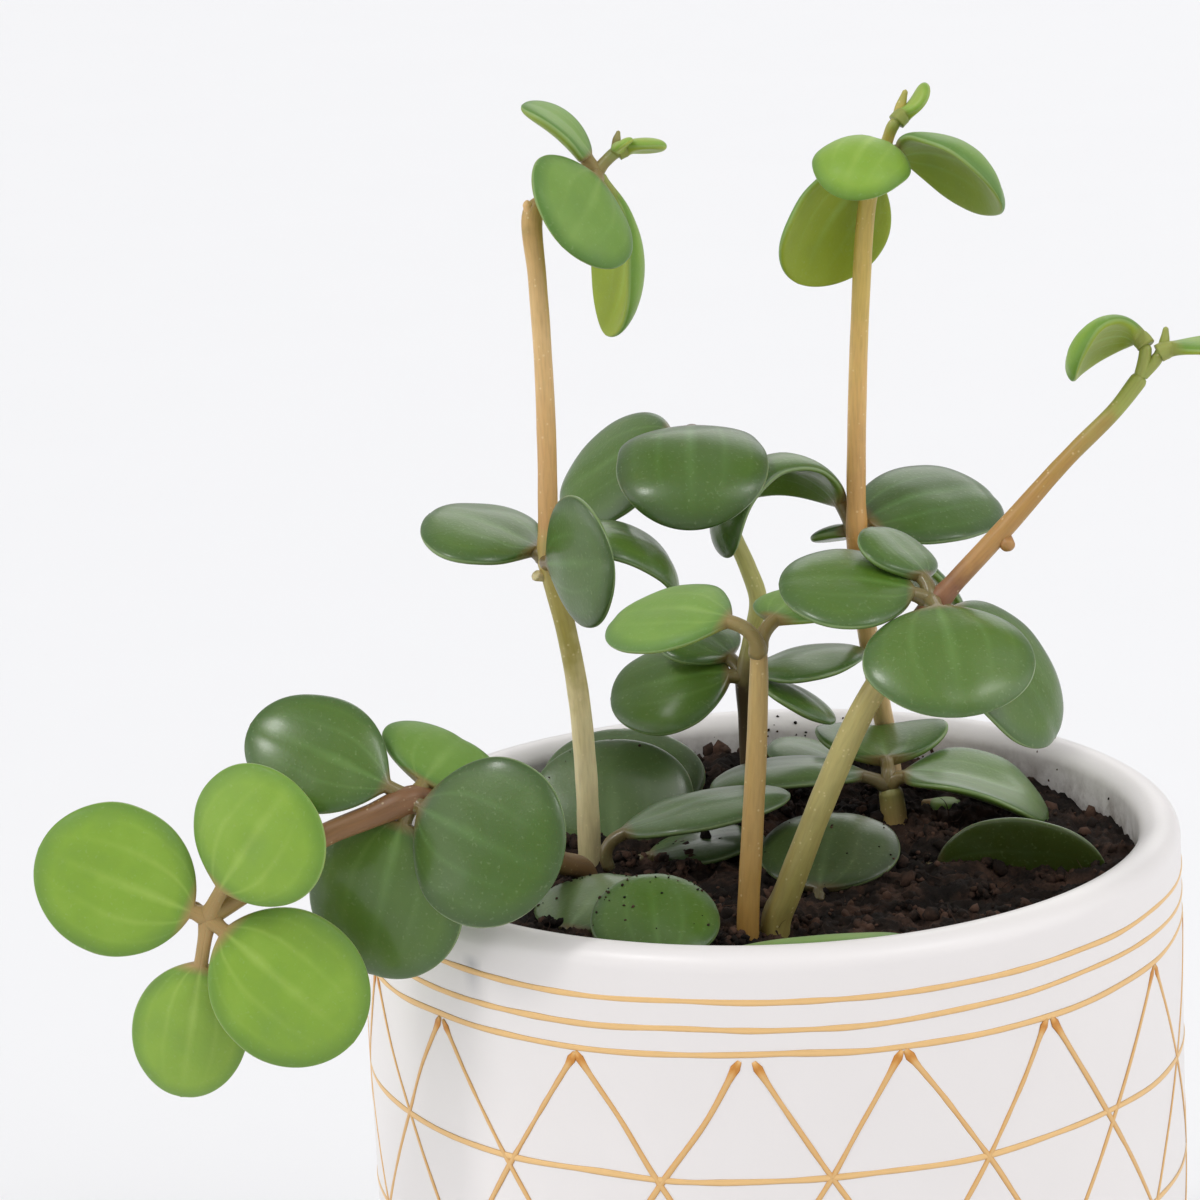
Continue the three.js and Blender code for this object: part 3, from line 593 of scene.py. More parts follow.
def glazed_ceramic(settings):
    """Matte white glazed earthenware: a slightly uneven satin coat over white, with a breath of soil
    dust where the inner wall meets the soil, and a faint painted shadow of the trailing leaves outside."""
    material, tree = new_material("matte_white_glaze")
    place = add(tree, "TexCoord").outputs["Object"]
    wave = add(tree, "TexNoise", {"Vector": place, "Scale": 1 / (14 * MM), "Detail": 2.0})
    pits = add(tree, "TexNoise", {"Vector": place, "Scale": 1 / (0.9 * MM), "Detail": 3.0})
    xyz = add(tree, "SeparateXYZ", {"Vector": place})
    flat = add(tree, "CombineXYZ", {"X": xyz.outputs["X"], "Y": xyz.outputs["Y"]})
    reach = add(tree, "VectorMath", {0: flat.outputs[0]}, operation="LENGTH").outputs["Value"]
    off_wall = {"From Min": (POT_INNER + 1.2) * MM, "From Max": (POT_INNER + 0.2) * MM}
    inside = add(tree, "MapRange", {"Value": reach, **off_wall}).outputs["Result"]
    from_lip = {"From Min": (POT_HEIGHT - 1.5) * MM, "From Max": (POT_HEIGHT - 8) * MM}
    low = add(tree, "MapRange", {"Value": xyz.outputs["Z"], **from_lip}).outputs["Result"]
    smear = add(tree, "TexNoise", {"Vector": place, "Scale": 1 / (5 * MM), "Detail": 6.0, "Roughness": 0.7})
    patches = set_ramp(
        add(tree, "ValToRGB", {"Fac": smear.outputs["Fac"]}), [(0.42, grey(0.0)), (0.72, grey(1.0))]
    )
    dusty = add(tree, "Math", {0: inside, 1: low}, operation="MULTIPLY").outputs[0]
    dirt = add(tree, "Math", {0: dusty, 1: patches}, operation="MULTIPLY").outputs[0]
    # A Mix node has its colours on inputs 6 and 7 and gives them on output 2.
    slightly = linear([c * 0.985 for c in settings.glaze])
    clean = add(
        tree, "Mix", {0: wave.outputs["Fac"], 6: linear(settings.glaze), 7: slightly}, data_type="RGBA"
    ).outputs[2]
    stained = add(tree, "Mix", {0: dirt, 6: clean, 7: linear("6b5a4c")}, data_type="RGBA").outputs[2]
    # A faint grey painted shadow of the trailing leaves runs down the outside from under the lip, at the
    # front left.
    spot = (LEAF_SHADOW_SPOT[0] * MM, LEAF_SHADOW_SPOT[1] * MM, 0.0)
    away = add(tree, "VectorMath", {0: flat.outputs[0], 1: spot}, operation="DISTANCE").outputs["Value"]
    close = add(
        tree, "MapRange", {"Value": away, "From Min": 2.2 * MM, "From Max": 0.2 * MM}
    ).outputs["Result"]
    under_lip = {"From Min": (POT_HEIGHT - 13) * MM, "From Max": (POT_HEIGHT - 3) * MM}
    length = add(tree, "MapRange", {"Value": xyz.outputs["Z"], **under_lip}).outputs["Result"]
    run = set_ramp(
        add(tree, "ValToRGB", {"Fac": length}), [(0.1, grey(0.0)), (0.7, grey(0.5)), (0.85, grey(0.0))]
    )
    leaf_shadow = add(tree, "Math", {0: close, 1: run}, operation="MULTIPLY").outputs[0]
    leaf_shadowed = add(tree, "Mix", {0: leaf_shadow, 6: stained, 7: linear("8d8f96")}, data_type="RGBA").outputs[2]
    rough = add(
        tree, "MapRange", {"Value": pits.outputs["Fac"], "To Min": 0.36, "To Max": 0.5}
    ).outputs["Result"]
    height = add(
        tree, "Math", {0: wave.outputs["Fac"], 1: 6.0, 2: pits.outputs["Fac"]}, operation="MULTIPLY_ADD"
    ).outputs[0]
    finish_material(
        tree, leaf_shadowed, height, 0.02 * MM, rough, ior=1.5, coat_weight=0.25, coat_roughness=0.3
    )
    return material


def gold_paint(settings):
    """Hand-painted ochre gold: satin paint that pools thicker and browner along the edges of a line."""
    material, tree = new_material("painted_gold")
    # The stroke attribute holds the place across (-1 to 1), nothing, and how heavy the paint lies.
    brushed = add(tree, "Attribute", attribute_name="stroke").outputs["Vector"]
    stroke = add(tree, "SeparateXYZ", {"Vector": brushed})
    across = add(tree, "Math", {0: stroke.outputs["X"]}, operation="ABSOLUTE").outputs[0]
    place = add(tree, "TexCoord").outputs["Object"]
    flow = add(tree, "TexNoise", {"Vector": place, "Scale": 1 / (2.2 * MM), "Detail": 3.0}).outputs["Fac"]
    pooled = add(tree, "Math", {0: across, 1: flow}, operation="MULTIPLY").outputs[0]
    heavy = add(
        tree, "Math", {0: pooled, 1: 0.6, 2: stroke.outputs["Z"]}, operation="MULTIPLY_ADD"
    ).outputs[0]
    gold = settings.gold
    colour = set_ramp(
        add(tree, "ValToRGB", {"Fac": heavy}),
        [
            (0.0, linear([min(c * 1.06, 1.0) for c in gold])),
            (0.3, linear(gold)),
            (0.75, linear([gold[0] * 0.95, gold[1] * 0.84, gold[2] * 0.64])),
            (1.0, linear([gold[0] * 0.9, gold[1] * 0.74, gold[2] * 0.48])),
        ],
    )
    finish_material(tree, colour, flow, 0.05 * MM, roughness=0.42, metallic=0.15, specular_ior_level=0.4)
    return material


def potting_soil(settings):
    """Damp peat: near-black matte crumbs, with drier reddish ones and a fine grain."""
    material, tree = new_material("damp_peat")
    place = add(tree, "TexCoord").outputs["Object"]
    tint = add(tree, "Attribute", attribute_name="dryness").outputs["Fac"]
    patch = add(
        tree, "TexNoise", {"Vector": place, "Scale": 1 / (7 * MM), "Detail": 5.0, "Roughness": 0.65}
    )
    grain = add(
        tree, "TexNoise", {"Vector": place, "Scale": 1 / (0.5 * MM), "Detail": 6.0, "Roughness": 0.75}
    )
    spread = add(
        tree, "MapRange", {"Value": patch.outputs["Fac"], "From Min": 0.4, "From Max": 0.75}
    ).outputs["Result"]
    dry = add(tree, "Math", {0: tint, 1: spread}, operation="ADD").outputs[0]
    fine = add(tree, "Math", {0: grain.outputs["Fac"], 1: 0.5, 2: -0.25}, operation="MULTIPLY_ADD").outputs[0]
    share = add(tree, "Math", {0: dry, 1: fine}, operation="ADD", use_clamp=True).outputs[0]
    damp = [c * 0.55 for c in settings.dark]
    colour = set_ramp(
        add(tree, "ValToRGB", {"Fac": share}),
        [(0.0, linear(damp)), (0.35, linear(settings.dark)), (1.0, linear(settings.dry))],
    )
    finish_material(tree, colour, grain.outputs["Fac"], 0.35 * MM, roughness=0.9, specular_ior_level=0.25)
    return material


def stem_skin(name, stops, settings):
    """The skin of a fleshy stem: satin, its colour running along it, with fine ridges lengthwise and
    small pale pores."""
    material, tree = new_material("stem_skin_" + name)
    # The bark attribute holds mm round the stem, mm along it and the share of its length.
    bark = add(tree, "Attribute", attribute_name="bark").outputs["Vector"]
    along = add(tree, "SeparateXYZ", {"Vector": bark}).outputs["Z"]
    place = add(tree, "TexCoord").outputs["Object"]
    ridged = add(tree, "Mapping", {"Vector": bark, "Scale": (1 / 0.35, 1 / 4.0, 0.0)}).outputs[0]
    ridges = add(tree, "TexNoise", {"Vector": ridged, "Scale": 1.0, "Detail": 3.0}).outputs["Fac"]
    blotch = add(tree, "TexNoise", {"Vector": place, "Scale": 1 / (3.5 * MM), "Detail": 3.0}).outputs["Fac"]
    pores = add(tree, "TexVoronoi", {"Vector": place, "Scale": 1 / (0.75 * MM)})
    moved = add(tree, "Math", {0: blotch, 1: 0.12, 2: -0.06}, operation="MULTIPLY_ADD").outputs[0]
    share = add(tree, "Math", {0: along, 1: moved}, operation="ADD", use_clamp=True).outputs[0]
    base = set_ramp(add(tree, "ValToRGB", {"Fac": share}), [(at, linear(c)) for at, c in stops])
    dark = add(tree, "Mix", {0: 0.26, 6: base, 7: linear("4a3018")}, data_type="RGBA").outputs[2]
    pale = add(tree, "Mix", {0: 0.3, 6: base, 7: linear("efe0b4")}, data_type="RGBA").outputs[2]
    streak = set_ramp(add(tree, "ValToRGB", {"Fac": ridges}), [(0.42, grey(0.0)), (0.7, grey(0.6))])
    streaked = add(tree, "Mix", {0: streak, 6: base, 7: dark}, data_type="RGBA").outputs[2]
    near = set_ramp(
        add(tree, "ValToRGB", {"Fac": pores.outputs["Distance"]}), [(0.16, grey(1.0)), (0.3, grey(0.0))]
    )
    chosen = add(tree, "SeparateColor", {"Color": pores.outputs["Color"]}).outputs[0]
    few = add(tree, "Math", {0: chosen, 1: 0.8}, operation="GREATER_THAN").outputs[0]
    dots = add(tree, "Math", {0: near, 1: few}, operation="MULTIPLY").outputs[0]
    dotted = add(tree, "Mix", {0: dots, 6: streaked, 7: pale}, data_type="RGBA").outputs[2]
    finish_material(
        tree, dotted, ridges, 0.05 * MM, roughness=settings.roughness, subsurface_weight=0.08,
        subsurface_scale=0.8 * MM, coat_weight=0.12, coat_roughness=0.35,
    )
    return material


def leaf_skin(tone, settings):
    """The skin of a fleshy leaf: waxy, with a midrib and two pairs of soft veins from the stalk to the
    tip, a darker zone inside a thin pale line that is partly a pale margin and partly painted rim light,
    slow bluish patches that are partly a matt waxy powder and partly painted sheen, and an olive underside."""
    middle, rim, vein, under, stalk = TONE_COLOURS[tone]
    material, tree = new_material("waxy_leaf_" + tone)
    # The blade attribute holds the place across (-1 to 1), along (0 to 1) and the half width in mm.
    blade = add(tree, "Attribute", attribute_name="blade").outputs["Vector"]
    underside = add(tree, "Attribute", attribute_name="underside").outputs["Fac"]
    tint = add(tree, "Attribute", attribute_name="tint").outputs["Fac"]
    parts = add(tree, "SeparateXYZ", {"Vector": blade})
    place = add(tree, "TexCoord").outputs["Object"]
    slow = add(tree, "TexNoise", {"Vector": place, "Scale": 1 / (6 * MM), "Detail": 3.0}).outputs["Fac"]
    cells = add(tree, "TexNoise", {"Vector": place, "Scale": 1 / (0.55 * MM), "Detail": 4.0}).outputs["Fac"]

    side = add(tree, "Math", {0: parts.outputs["X"]}, operation="ABSOLUTE").outputs[0]
    wander = add(tree, "Math", {0: slow, 1: 0.12, 2: -0.06}, operation="MULTIPLY_ADD").outputs[0]
    wandered = add(tree, "Math", {0: side, 1: wander}, operation="ADD").outputs[0]
    lines = set_ramp(
        add(tree, "ValToRGB", {"Fac": wandered}),
        [
            (0.0, grey(0.7)), (0.03, grey(0.5)), (0.1, grey(0.0)), (0.36, grey(0.0)),
            (0.42, grey(0.38)), (0.49, grey(0.0)), (0.7, grey(0.0)), (0.75, grey(0.14)), (0.8, grey(0.0)),
        ],
    )
    fade = set_ramp(
        add(tree, "ValToRGB", {"Fac": parts.outputs["Y"]}),
        [(0.0, grey(1.0)), (0.35, grey(0.8)), (0.75, grey(0.25)), (0.95, grey(0.0))],
    )
    veins = add(tree, "Math", {0: lines, 1: fade}, operation="MULTIPLY").outputs[0]

    # How far out a point is: 0 in the middle of the blade, 1 on its outline.
    level = add(tree, "Math", {0: parts.outputs["Y"], 1: 2.0, 2: -1.0}, operation="MULTIPLY_ADD").outputs[0]
    spare = add(tree, "Math", {0: level, 1: level}, operation="MULTIPLY").outputs[0]
    chord = add(tree, "Math", {0: 1.0, 1: spare}, operation="SUBTRACT", use_clamp=True).outputs[0]
    crossing = add(tree, "Math", {0: side, 1: side}, operation="MULTIPLY").outputs[0]
    out = add(tree, "Math", {0: crossing, 1: chord, 2: spare}, operation="MULTIPLY_ADD").outputs[0]
    ragged = add(tree, "Math", {0: wander, 1: 0.7, 2: out}, operation="MULTIPLY_ADD").outputs[0]
    top = set_ramp(
        add(tree, "ValToRGB", {"Fac": ragged}),
        [(0.0, linear(middle)), (0.55, linear(middle)), (0.88, linear(rim)), (1.0, linear(rim))],
    )
    veined = add(tree, "Mix", {0: veins, 6: top, 7: linear(vein)}, data_type="RGBA").outputs[2]
    # A thin pale line along the blade's rounded outline: partly a pale margin, partly painted rim light from
    # the bright surroundings.
    pale_margin_and_rim_light = set_ramp(add(tree, "ValToRGB", {"Fac": side}), [(0.975, grey(0.0)), (0.995, grey(0.4))])
    margin_and_rim_lit = add(tree, "Mix", {0: pale_margin_and_rim_light, 6: veined, 7: linear("b9cf95")}, data_type="RGBA").outputs[2]
    below = add(tree, "Mix", {0: veins, 6: linear(under), 7: linear(vein)}, data_type="RGBA").outputs[2]
    faces = add(tree, "Mix", {0: underside, 6: margin_and_rim_lit, 7: below}, data_type="RGBA").outputs[2]
    bare = set_ramp(
        add(tree, "ValToRGB", {"Fac": parts.outputs["Y"]}), [(0.004, grey(1.0)), (0.07, grey(0.0))]
    )
    stalked = add(tree, "Mix", {0: bare, 6: faces, 7: linear(stalk)}, data_type="RGBA").outputs[2]
    deeper = add(tree, "HueSaturation", {"Color": stalked, "Value": 0.8, "Saturation": 1.06, "Hue": 0.506})
    patchy = add(tree, "Math", {0: slow, 1: 1.6, 2: -0.8}, operation="MULTIPLY_ADD").outputs[0]
    shade = add(tree, "Math", {0: tint, 1: patchy}, operation="ADD", use_clamp=True).outputs[0]
    toned = add(tree, "Mix", {0: shade, 6: stalked, 7: deeper.outputs[0]}, data_type="RGBA").outputs[2]
    freckle = set_ramp(add(tree, "ValToRGB", {"Fac": cells}), [(0.6, grey(0.0)), (0.8, grey(0.2))])
    speckled = add(tree, "Mix", {0: freckle, 6: toned, 7: linear("a9bd8c")}, data_type="RGBA").outputs[2]
    # Slow pale bluish-grey patches: partly the leaf's matt waxy powder, partly a painted sheen.
    powder_and_sheen = set_ramp(add(tree, "ValToRGB", {"Fac": slow}), [(0.5, grey(0.0)), (0.75, grey(0.08))])
    powder_and_sheen_mixed = add(tree, "Mix", {0: powder_and_sheen, 6: speckled, 7: linear("8fa083")}, data_type="RGBA").outputs[2]
    height = add(tree, "Math", {0: veins, 1: -1.2, 2: cells}, operation="MULTIPLY_ADD").outputs[0]
    matt = tone in MATT_TONES
    finish_material(
        tree, powder_and_sheen_mixed, height, 0.045 * MM, roughness=0.55 if matt else settings.roughness,
        subsurface_weight=0.12, subsurface_scale=1.2 * MM, sheen_weight=0.1 if matt else 0.03,
        sheen_roughness=0.45, coat_weight=0.12 if matt else 0.5, coat_roughness=0.3 if matt else 0.22,
        specular_ior_level=0.35,
    )
    return material


def studio_floor(settings):
    """A plain painted board: pale and matte, with the faintest mottling."""
    material, tree = new_material("pale_board")
    place = add(tree, "TexCoord").outputs["Object"]
    mottle = add(tree, "TexNoise", {"Vector": place, "Scale": 1 / (60 * MM), "Detail": 2.0}).outputs["Fac"]
    near = linear([c * 0.995 for c in settings.floor])
    colour = add(tree, "Mix", {0: mottle, 6: linear(settings.floor), 7: near}, data_type="RGBA").outputs[2]
    finish_material(tree, colour, roughness=0.7, specular_ior_level=0.2)
    return material


# ---------------------------------------------------------------- the pot


def arc(x, z, radius, start, stop, steps):
    """Points on a circle in the profile's plane between two angles in degrees."""
    turn = np.radians(np.linspace(start, stop, steps))
    return np.stack([x + radius * np.cos(turn), z + radius * np.sin(turn)], -1)


def pot_surface():
    """The wall's profile of radius and height, turned about Z: (r cos a, r sin a, z). The radius and
    the lip waver by a slow noise of about a tenth of a millimetre, as in a thrown pot."""
    profile = np.vstack([
        [[1.0, 0.0], [20.0, 0.0], [45.0, 0.0]],
        arc(POT_RADIUS - FOOT_ROUND, FOOT_ROUND, FOOT_ROUND, -90, 0, 9),
        np.stack([np.full(24, POT_RADIUS), np.linspace(WALL_LOW, WALL_HIGH, 24)], -1),
        arc(POT_RADIUS - LIP_ROUND, POT_HEIGHT - LIP_ROUND, LIP_ROUND, 0, 180, 25),
        np.stack([np.full(16, POT_INNER), np.linspace(WALL_HIGH, POT_FLOOR, 16)], -1),
        [[40.0, POT_FLOOR], [1.0, POT_FLOOR]],
    ])
    turn = np.linspace(0, 2 * np.pi, POT_AROUND, endpoint=False)
    radius, height = profile[:, :1], profile[:, 1:]
    grid = np.stack([radius * np.cos(turn), radius * np.sin(turn), height + 0 * turn], -1)
    waver = soft_noise(grid.reshape(-1, 3), 22, SEEDS["pot"]).reshape(grid.shape[:2])
    upper = smooth((height - 20) / 60) * (radius > 50)
    grid[..., :2] *= 1 - 0.0012 * (waver * upper)[..., None] - 0.0012 * (upper > 0)[..., None]
    grid[..., 2] -= 0.12 * (1 + waver) * smooth((height - 106) / 4)
    # The profile runs outwards under the foot, so that its faces point out when taken the other way.
    return with_poles(grid), [face[::-1] for face in tube_faces(len(profile), POT_AROUND)]


def stroke_tube(angle, height, width, relief, closed=False):
    """A brush stroke on the round wall. Its middle line is angle (degrees from the front) and height;
    across it the points rise off the wall in a low arch as high as the relief, and its back lies in the
    wall."""
    at = np.stack([np.radians(angle) * POT_RADIUS, height], -1)
    ahead = np.roll(at, -1, 0) - np.roll(at, 1, 0)
    if not closed:
        ahead[0], ahead[-1] = at[1] - at[0], at[-1] - at[-2]
    else:
        around = 2 * np.pi * POT_RADIUS
        ahead[:, 0] = (ahead[:, 0] + around / 2) % around - around / 2
    ahead = unit(ahead)
    normal = np.stack([-ahead[:, 1], ahead[:, 0]], -1)
    across = np.array([-1.0, -0.7, -0.3, 0.3, 0.7, 1.0, 0.5, -0.5])
    off = np.array([0.0, 0.6, 1.0, 1.0, 0.6, 0.0, -0.8, -0.8])
    flat = at[:, None] + normal[:, None] * (across * 0.5)[None, :, None] * width[:, None, None]
    reach = POT_RADIUS - 0.06 + off * relief / MM
    turn = flat[..., 0] / POT_RADIUS
    points = np.stack([np.sin(turn) * reach, -np.cos(turn) * reach, flat[..., 1]], -1)
    base = 0.0 if closed else SLANTED_HEAVINESS
    heavy = base + (1 - base) * smooth((width / width.mean() - 1.15) / 0.5)
    fields = np.stack(np.broadcast_arrays(across, 0.0, heavy[:, None]), -1)
    if closed:
        faces = tube_faces(len(at), len(across), closed=True)
        return points.reshape(-1, 3), faces, fields.reshape(-1, 3)
    return with_poles(points), tube_faces(len(at), len(across)), with_poles(fields)


def gold_strokes(settings):
    """Every line of the pattern: three rings, the level lines of the lattice, and its slanted strokes,
    which start in a thick drop of paint under the lowest ring and cross on each level line."""
    width = settings.line_width / MM
    relief = settings.line_relief
    step = 360 / TRIANGLES
    parts = []
    for number, height in enumerate(RING_HEIGHTS + ROW_HEIGHTS):
        angle = np.linspace(0, 360, RING_POINTS, endpoint=False)
        circle = np.stack([np.cos(np.radians(angle)), np.sin(np.radians(angle))], -1)
        rise = 0.35 * soft_noise(circle, 0.22, SEEDS["ring rise"] + number)
        rise = rise + 0.25 * soft_noise(circle, 0.8, SEEDS["slow ring rise"] + number)
        wide = 1 + 0.16 * soft_noise(circle, 0.07, SEEDS["ring width"] + number)
        wide = width * (wide + 0.1 * soft_noise(circle, 0.4, SEEDS["slow ring width"] + number))
        parts.append(stroke_tube(angle, height + rise, wide, relief, closed=True))
    top, bottom = RING_HEIGHTS[-1] - 0.4, ROW_HEIGHTS[-1] - 0.3
    for number in range(TRIANGLES):
        for way in (-1, 1):
            share = np.linspace(0, 1, STROKE_POINTS)
            drift = APEX_DRIFT[number] * (1 - share) ** 2
            rows = len(ROW_HEIGHTS)
            apex = FIRST_NODE + step * (number + 0.5)
            gap = way * (0.75 if number == OPEN_APEX else 0.25)
            angle = apex + drift + gap * (1 - share) ** 8 + way * step / 2 * rows * share
            line = np.stack([share * 4, np.full(STROKE_POINTS, way + number * 2.0)], -1)
            angle = angle + 0.28 * soft_noise(line, 0.5, SEEDS["stroke"])
            wide = 0.92 + 0.14 * soft_noise(line, 0.12, SEEDS["stroke width"])
            wide = width * (wide + 0.16 * soft_noise(line, 0.6, SEEDS["slow stroke width"]))
            wide = wide * (1 + 0.75 * np.exp(-((share - 0.006) / 0.022) ** 2))
            wide = wide * np.minimum(1, 0.45 + share / 0.01)
            start = 0.45 * soft_noise(line[:1], 0.3, SEEDS["stroke start"])[0]
            height = top + start + (bottom - top - start) * share
            parts.append(stroke_tube(angle, height, wide, relief * 1.3))
    return join_parts(parts)


# ---------------------------------------------------------------- the soil


def even_draws(seed):
    """The minimal standard generator: state times 16807 modulo 2^31 - 1, as a share of it."""
    state = seed
    while True:
        state = state * 16807 % 2147483647
        yield state / 2147483647


def clods():
    """Clods as x, y, radius and height, spread evenly over the surface."""
    draw = even_draws(SEEDS["clods"])
    rows = []
    for _ in range(CLOD_COUNT):
        reach = POT_INNER * math.sqrt(next(draw))
        turn = 2 * math.pi * next(draw)
        size = CLOD_RADIUS[0] + (CLOD_RADIUS[1] - CLOD_RADIUS[0]) * next(draw)
        height = CLOD_HEIGHT[0] + (CLOD_HEIGHT[1] - CLOD_HEIGHT[0]) * next(draw)
        rows.append((reach * math.cos(turn), reach * math.sin(turn), size, height))
    return rows


def soil_height(x, y):
    """Height of the soil: level at the front and rising to the back, with the highest of the rounded
    clods, height times the root of 1 - d^2/r^2, and over them smaller crumbs as ridged noise."""
    places = np.stack([x, y], -1)
    top = np.zeros(len(x))
    for cx, cy, size, height in clods():
        near = 1 - ((x - cx) ** 2 + (y - cy) ** 2) / size**2
        top = np.maximum(top, height * np.sqrt(np.maximum(near, 0)))
    broken = sum(
        share * (1 - 2 * np.abs(soft_noise(places, cell, seed)))
        for share, cell, seed in ((0.75, 5.0, 1), (0.55, 2.2, 2), (0.4, 1.1, 3), (0.22, 0.55, 4))
    )
    return SOIL_LEVEL + SOIL_BACK_RISE * smooth(y / SOIL_RISE_END) + top + broken - 0.55


def soil_surface():
    """A round plug: a flat bottom, a straight side, and a top of rings and spokes at the soil's height."""
    turn = np.linspace(0, 2 * np.pi, SOIL_AROUND, endpoint=False)
    reach = SOIL_REACH * np.sqrt(np.linspace(1, 0.0004, SOIL_RINGS))
    radius = np.concatenate([[0.5, 30, SOIL_REACH, SOIL_REACH], reach])[:, None]
    low = np.full((len(radius), 1), POT_FLOOR + 0.3)
    grid = np.stack([radius * np.cos(turn), radius * np.sin(turn), low + 0 * turn], -1)
    # Three rows make the bottom, the fourth the side's upper end, and the rest the top.
    grid[3, :, 2] = SOIL_SHOULDER
    top = grid[4:].reshape(-1, 3)
    grid[4:, :, 2] = soil_height(top[:, 0], top[:, 1]).reshape(SOIL_RINGS, SOIL_AROUND)
    points = with_poles(grid)
    dryness = 0.25 * np.maximum(soft_noise(points[:, :2], 4.0, SEEDS["dry patches"]), 0)
    dryness = dryness + 0.18 * np.maximum(soft_noise(points[:, :2], 0.9, SEEDS["dry grains"]), 0)
    return points, [face[::-1] for face in tube_faces(len(radius), SOIL_AROUND)], dryness


def crumb_mesh(centres, radii, seed):
    """Lumps of twenty faces: an icosahedron whose corners are pushed in and out and which is squashed
    and turned at random, one at each centre."""
    form = bmesh.new()
    bmesh.ops.create_icosphere(form, subdivisions=1, radius=1.0)
    corners = np.array([v.co[:] for v in form.verts])
    sides = np.array([[v.index for v in f.verts] for f in form.faces])
    form.free()
    draw = np.random.default_rng(seed)
    count = len(centres)
    push = draw.uniform(0.65, 1.25, (count, len(corners), 1))
    squash = draw.uniform(0.6, 1.15, (count, 1, 3))
    turns = draw.normal(size=(count, 4))
    w, x, y, z = unit(turns).T
    spin = np.stack([
        np.stack([1 - 2 * (y * y + z * z), 2 * (x * y - z * w), 2 * (x * z + y * w)], -1),
        np.stack([2 * (x * y + z * w), 1 - 2 * (x * x + z * z), 2 * (y * z - x * w)], -1),
        np.stack([2 * (x * z - y * w), 2 * (y * z + x * w), 1 - 2 * (x * x + y * y)], -1),
    ], 1)
    lumps = np.einsum("nij,nkj->nki", spin, corners * push * squash) * radii[:, None, None] + centres[:, None]
    faces = (sides[None] + (np.arange(count) * len(corners))[:, None, None]).reshape(-1, 3)
    dryness = np.repeat(draw.uniform(0, 1, count) ** 3, len(corners))
    return lumps.reshape(-1, 3), faces.tolist(), dryness


def soil_crumbs(count):
    """Loose crumbs on the soil, thrown evenly, the small ones many and the large ones few, and clusters
    of crumbs that cling together over a low half ball."""
    draw = np.random.default_rng(SEEDS["crumbs"])
    reach = (SOIL_REACH - 1.5) * np.sqrt(draw.uniform(0, 1, count))
    turn = draw.uniform(0, 2 * np.pi, count)
    x, y = reach * np.cos(turn), reach * np.sin(turn)
    radii = 0.32 + 1.5 * draw.uniform(0, 1, count) ** 5
    loose = np.stack([x, y, soil_height(x, y) + 0.25 * radii], -1)
    reach = (SOIL_REACH - 4) * np.sqrt(draw.uniform(0, 1, CLUSTERS))
    turn = draw.uniform(0, 2 * np.pi, CLUSTERS)
    x, y = reach * np.cos(turn), reach * np.sin(turn)
    middle = np.stack([x, y, soil_height(x, y) - 0.3], -1)[:, None]
    span = draw.uniform(1.1, 2.6, (CLUSTERS, 1, 1)) * [1.0, 1.0, 0.75]
    lean = unit(draw.normal(size=(CLUSTERS, CLUSTER_CRUMBS, 3)))
    lean[..., 2] = np.abs(lean[..., 2])
    out = draw.uniform(0.6, 1.0, (CLUSTERS, CLUSTER_CRUMBS, 1))
    clinging = (middle + span * lean * out).reshape(-1, 3)
    sizes = draw.uniform(0.35, 0.95, CLUSTERS * CLUSTER_CRUMBS)
    return crumb_mesh(np.vstack([loose, clinging]), np.concatenate([radii, sizes]), SEEDS["crumb shapes"])


def fibre_mesh(rows, seed):
    """Thin bent tubes of four sides, one for each row of start, way, length and thickness: from the
    start along the way, swerving by a slow sine."""
    draw = np.random.default_rng(seed)
    share = np.linspace(0, 1, FIBRE_STEPS)
    turn = np.arange(FIBRE_AROUND) * 2 * np.pi / FIBRE_AROUND
    faces = [face[::-1] for face in tube_faces(FIBRE_STEPS, FIBRE_AROUND)]
    fibres = []
    for start, way, length, size in rows:
        way = unit(np.asarray(way))
        aside = unit(np.cross(way, draw.normal(size=3)))
        above = np.cross(way, aside)
        swerve = draw.uniform(0.05, 0.22) * length
        phase = draw.uniform(0, 2 * np.pi)
        middle = start + np.outer(share * length, way)
        middle = middle + np.outer(swerve * (np.sin(3.5 * share + phase) - np.sin(phase)), aside)
        ring = np.cos(turn)[:, None] * aside + np.sin(turn)[:, None] * above
        taper = size / 2 * (1 - 0.6 * share)
        points = with_poles(middle[:, None] + taper[:, None, None] * ring[None])
        fibres.append((points, faces, np.full(len(points), FIBRE_DRYNESS)))
    return join_parts(fibres)


def soil_fibres(count):
    """Root fibres that lie on the soil or stick out of it at a low slant, and those on the wall."""
    draw = np.random.default_rng(SEEDS["fibres"])
    reach = (SOIL_REACH - 6) * np.sqrt(draw.uniform(0, 1, count))
    turn = draw.uniform(0, 2 * np.pi, count)
    x, y = reach * np.cos(turn), reach * np.sin(turn)
    starts = np.stack([x, y, soil_height(x, y) - 0.2], -1)
    heading = draw.uniform(0, 2 * np.pi, count)
    ways = np.stack([np.cos(heading), np.sin(heading), draw.uniform(0.0, 0.7, count)], -1)
    lengths = draw.uniform(1.8, 5.5, count)
    sizes = draw.uniform(0.12, 0.26, count)
    lying = zip(starts, ways, lengths, sizes)
    return fibre_mesh([*lying, *WALL_FIBRES], SEEDS["fibre bends"])


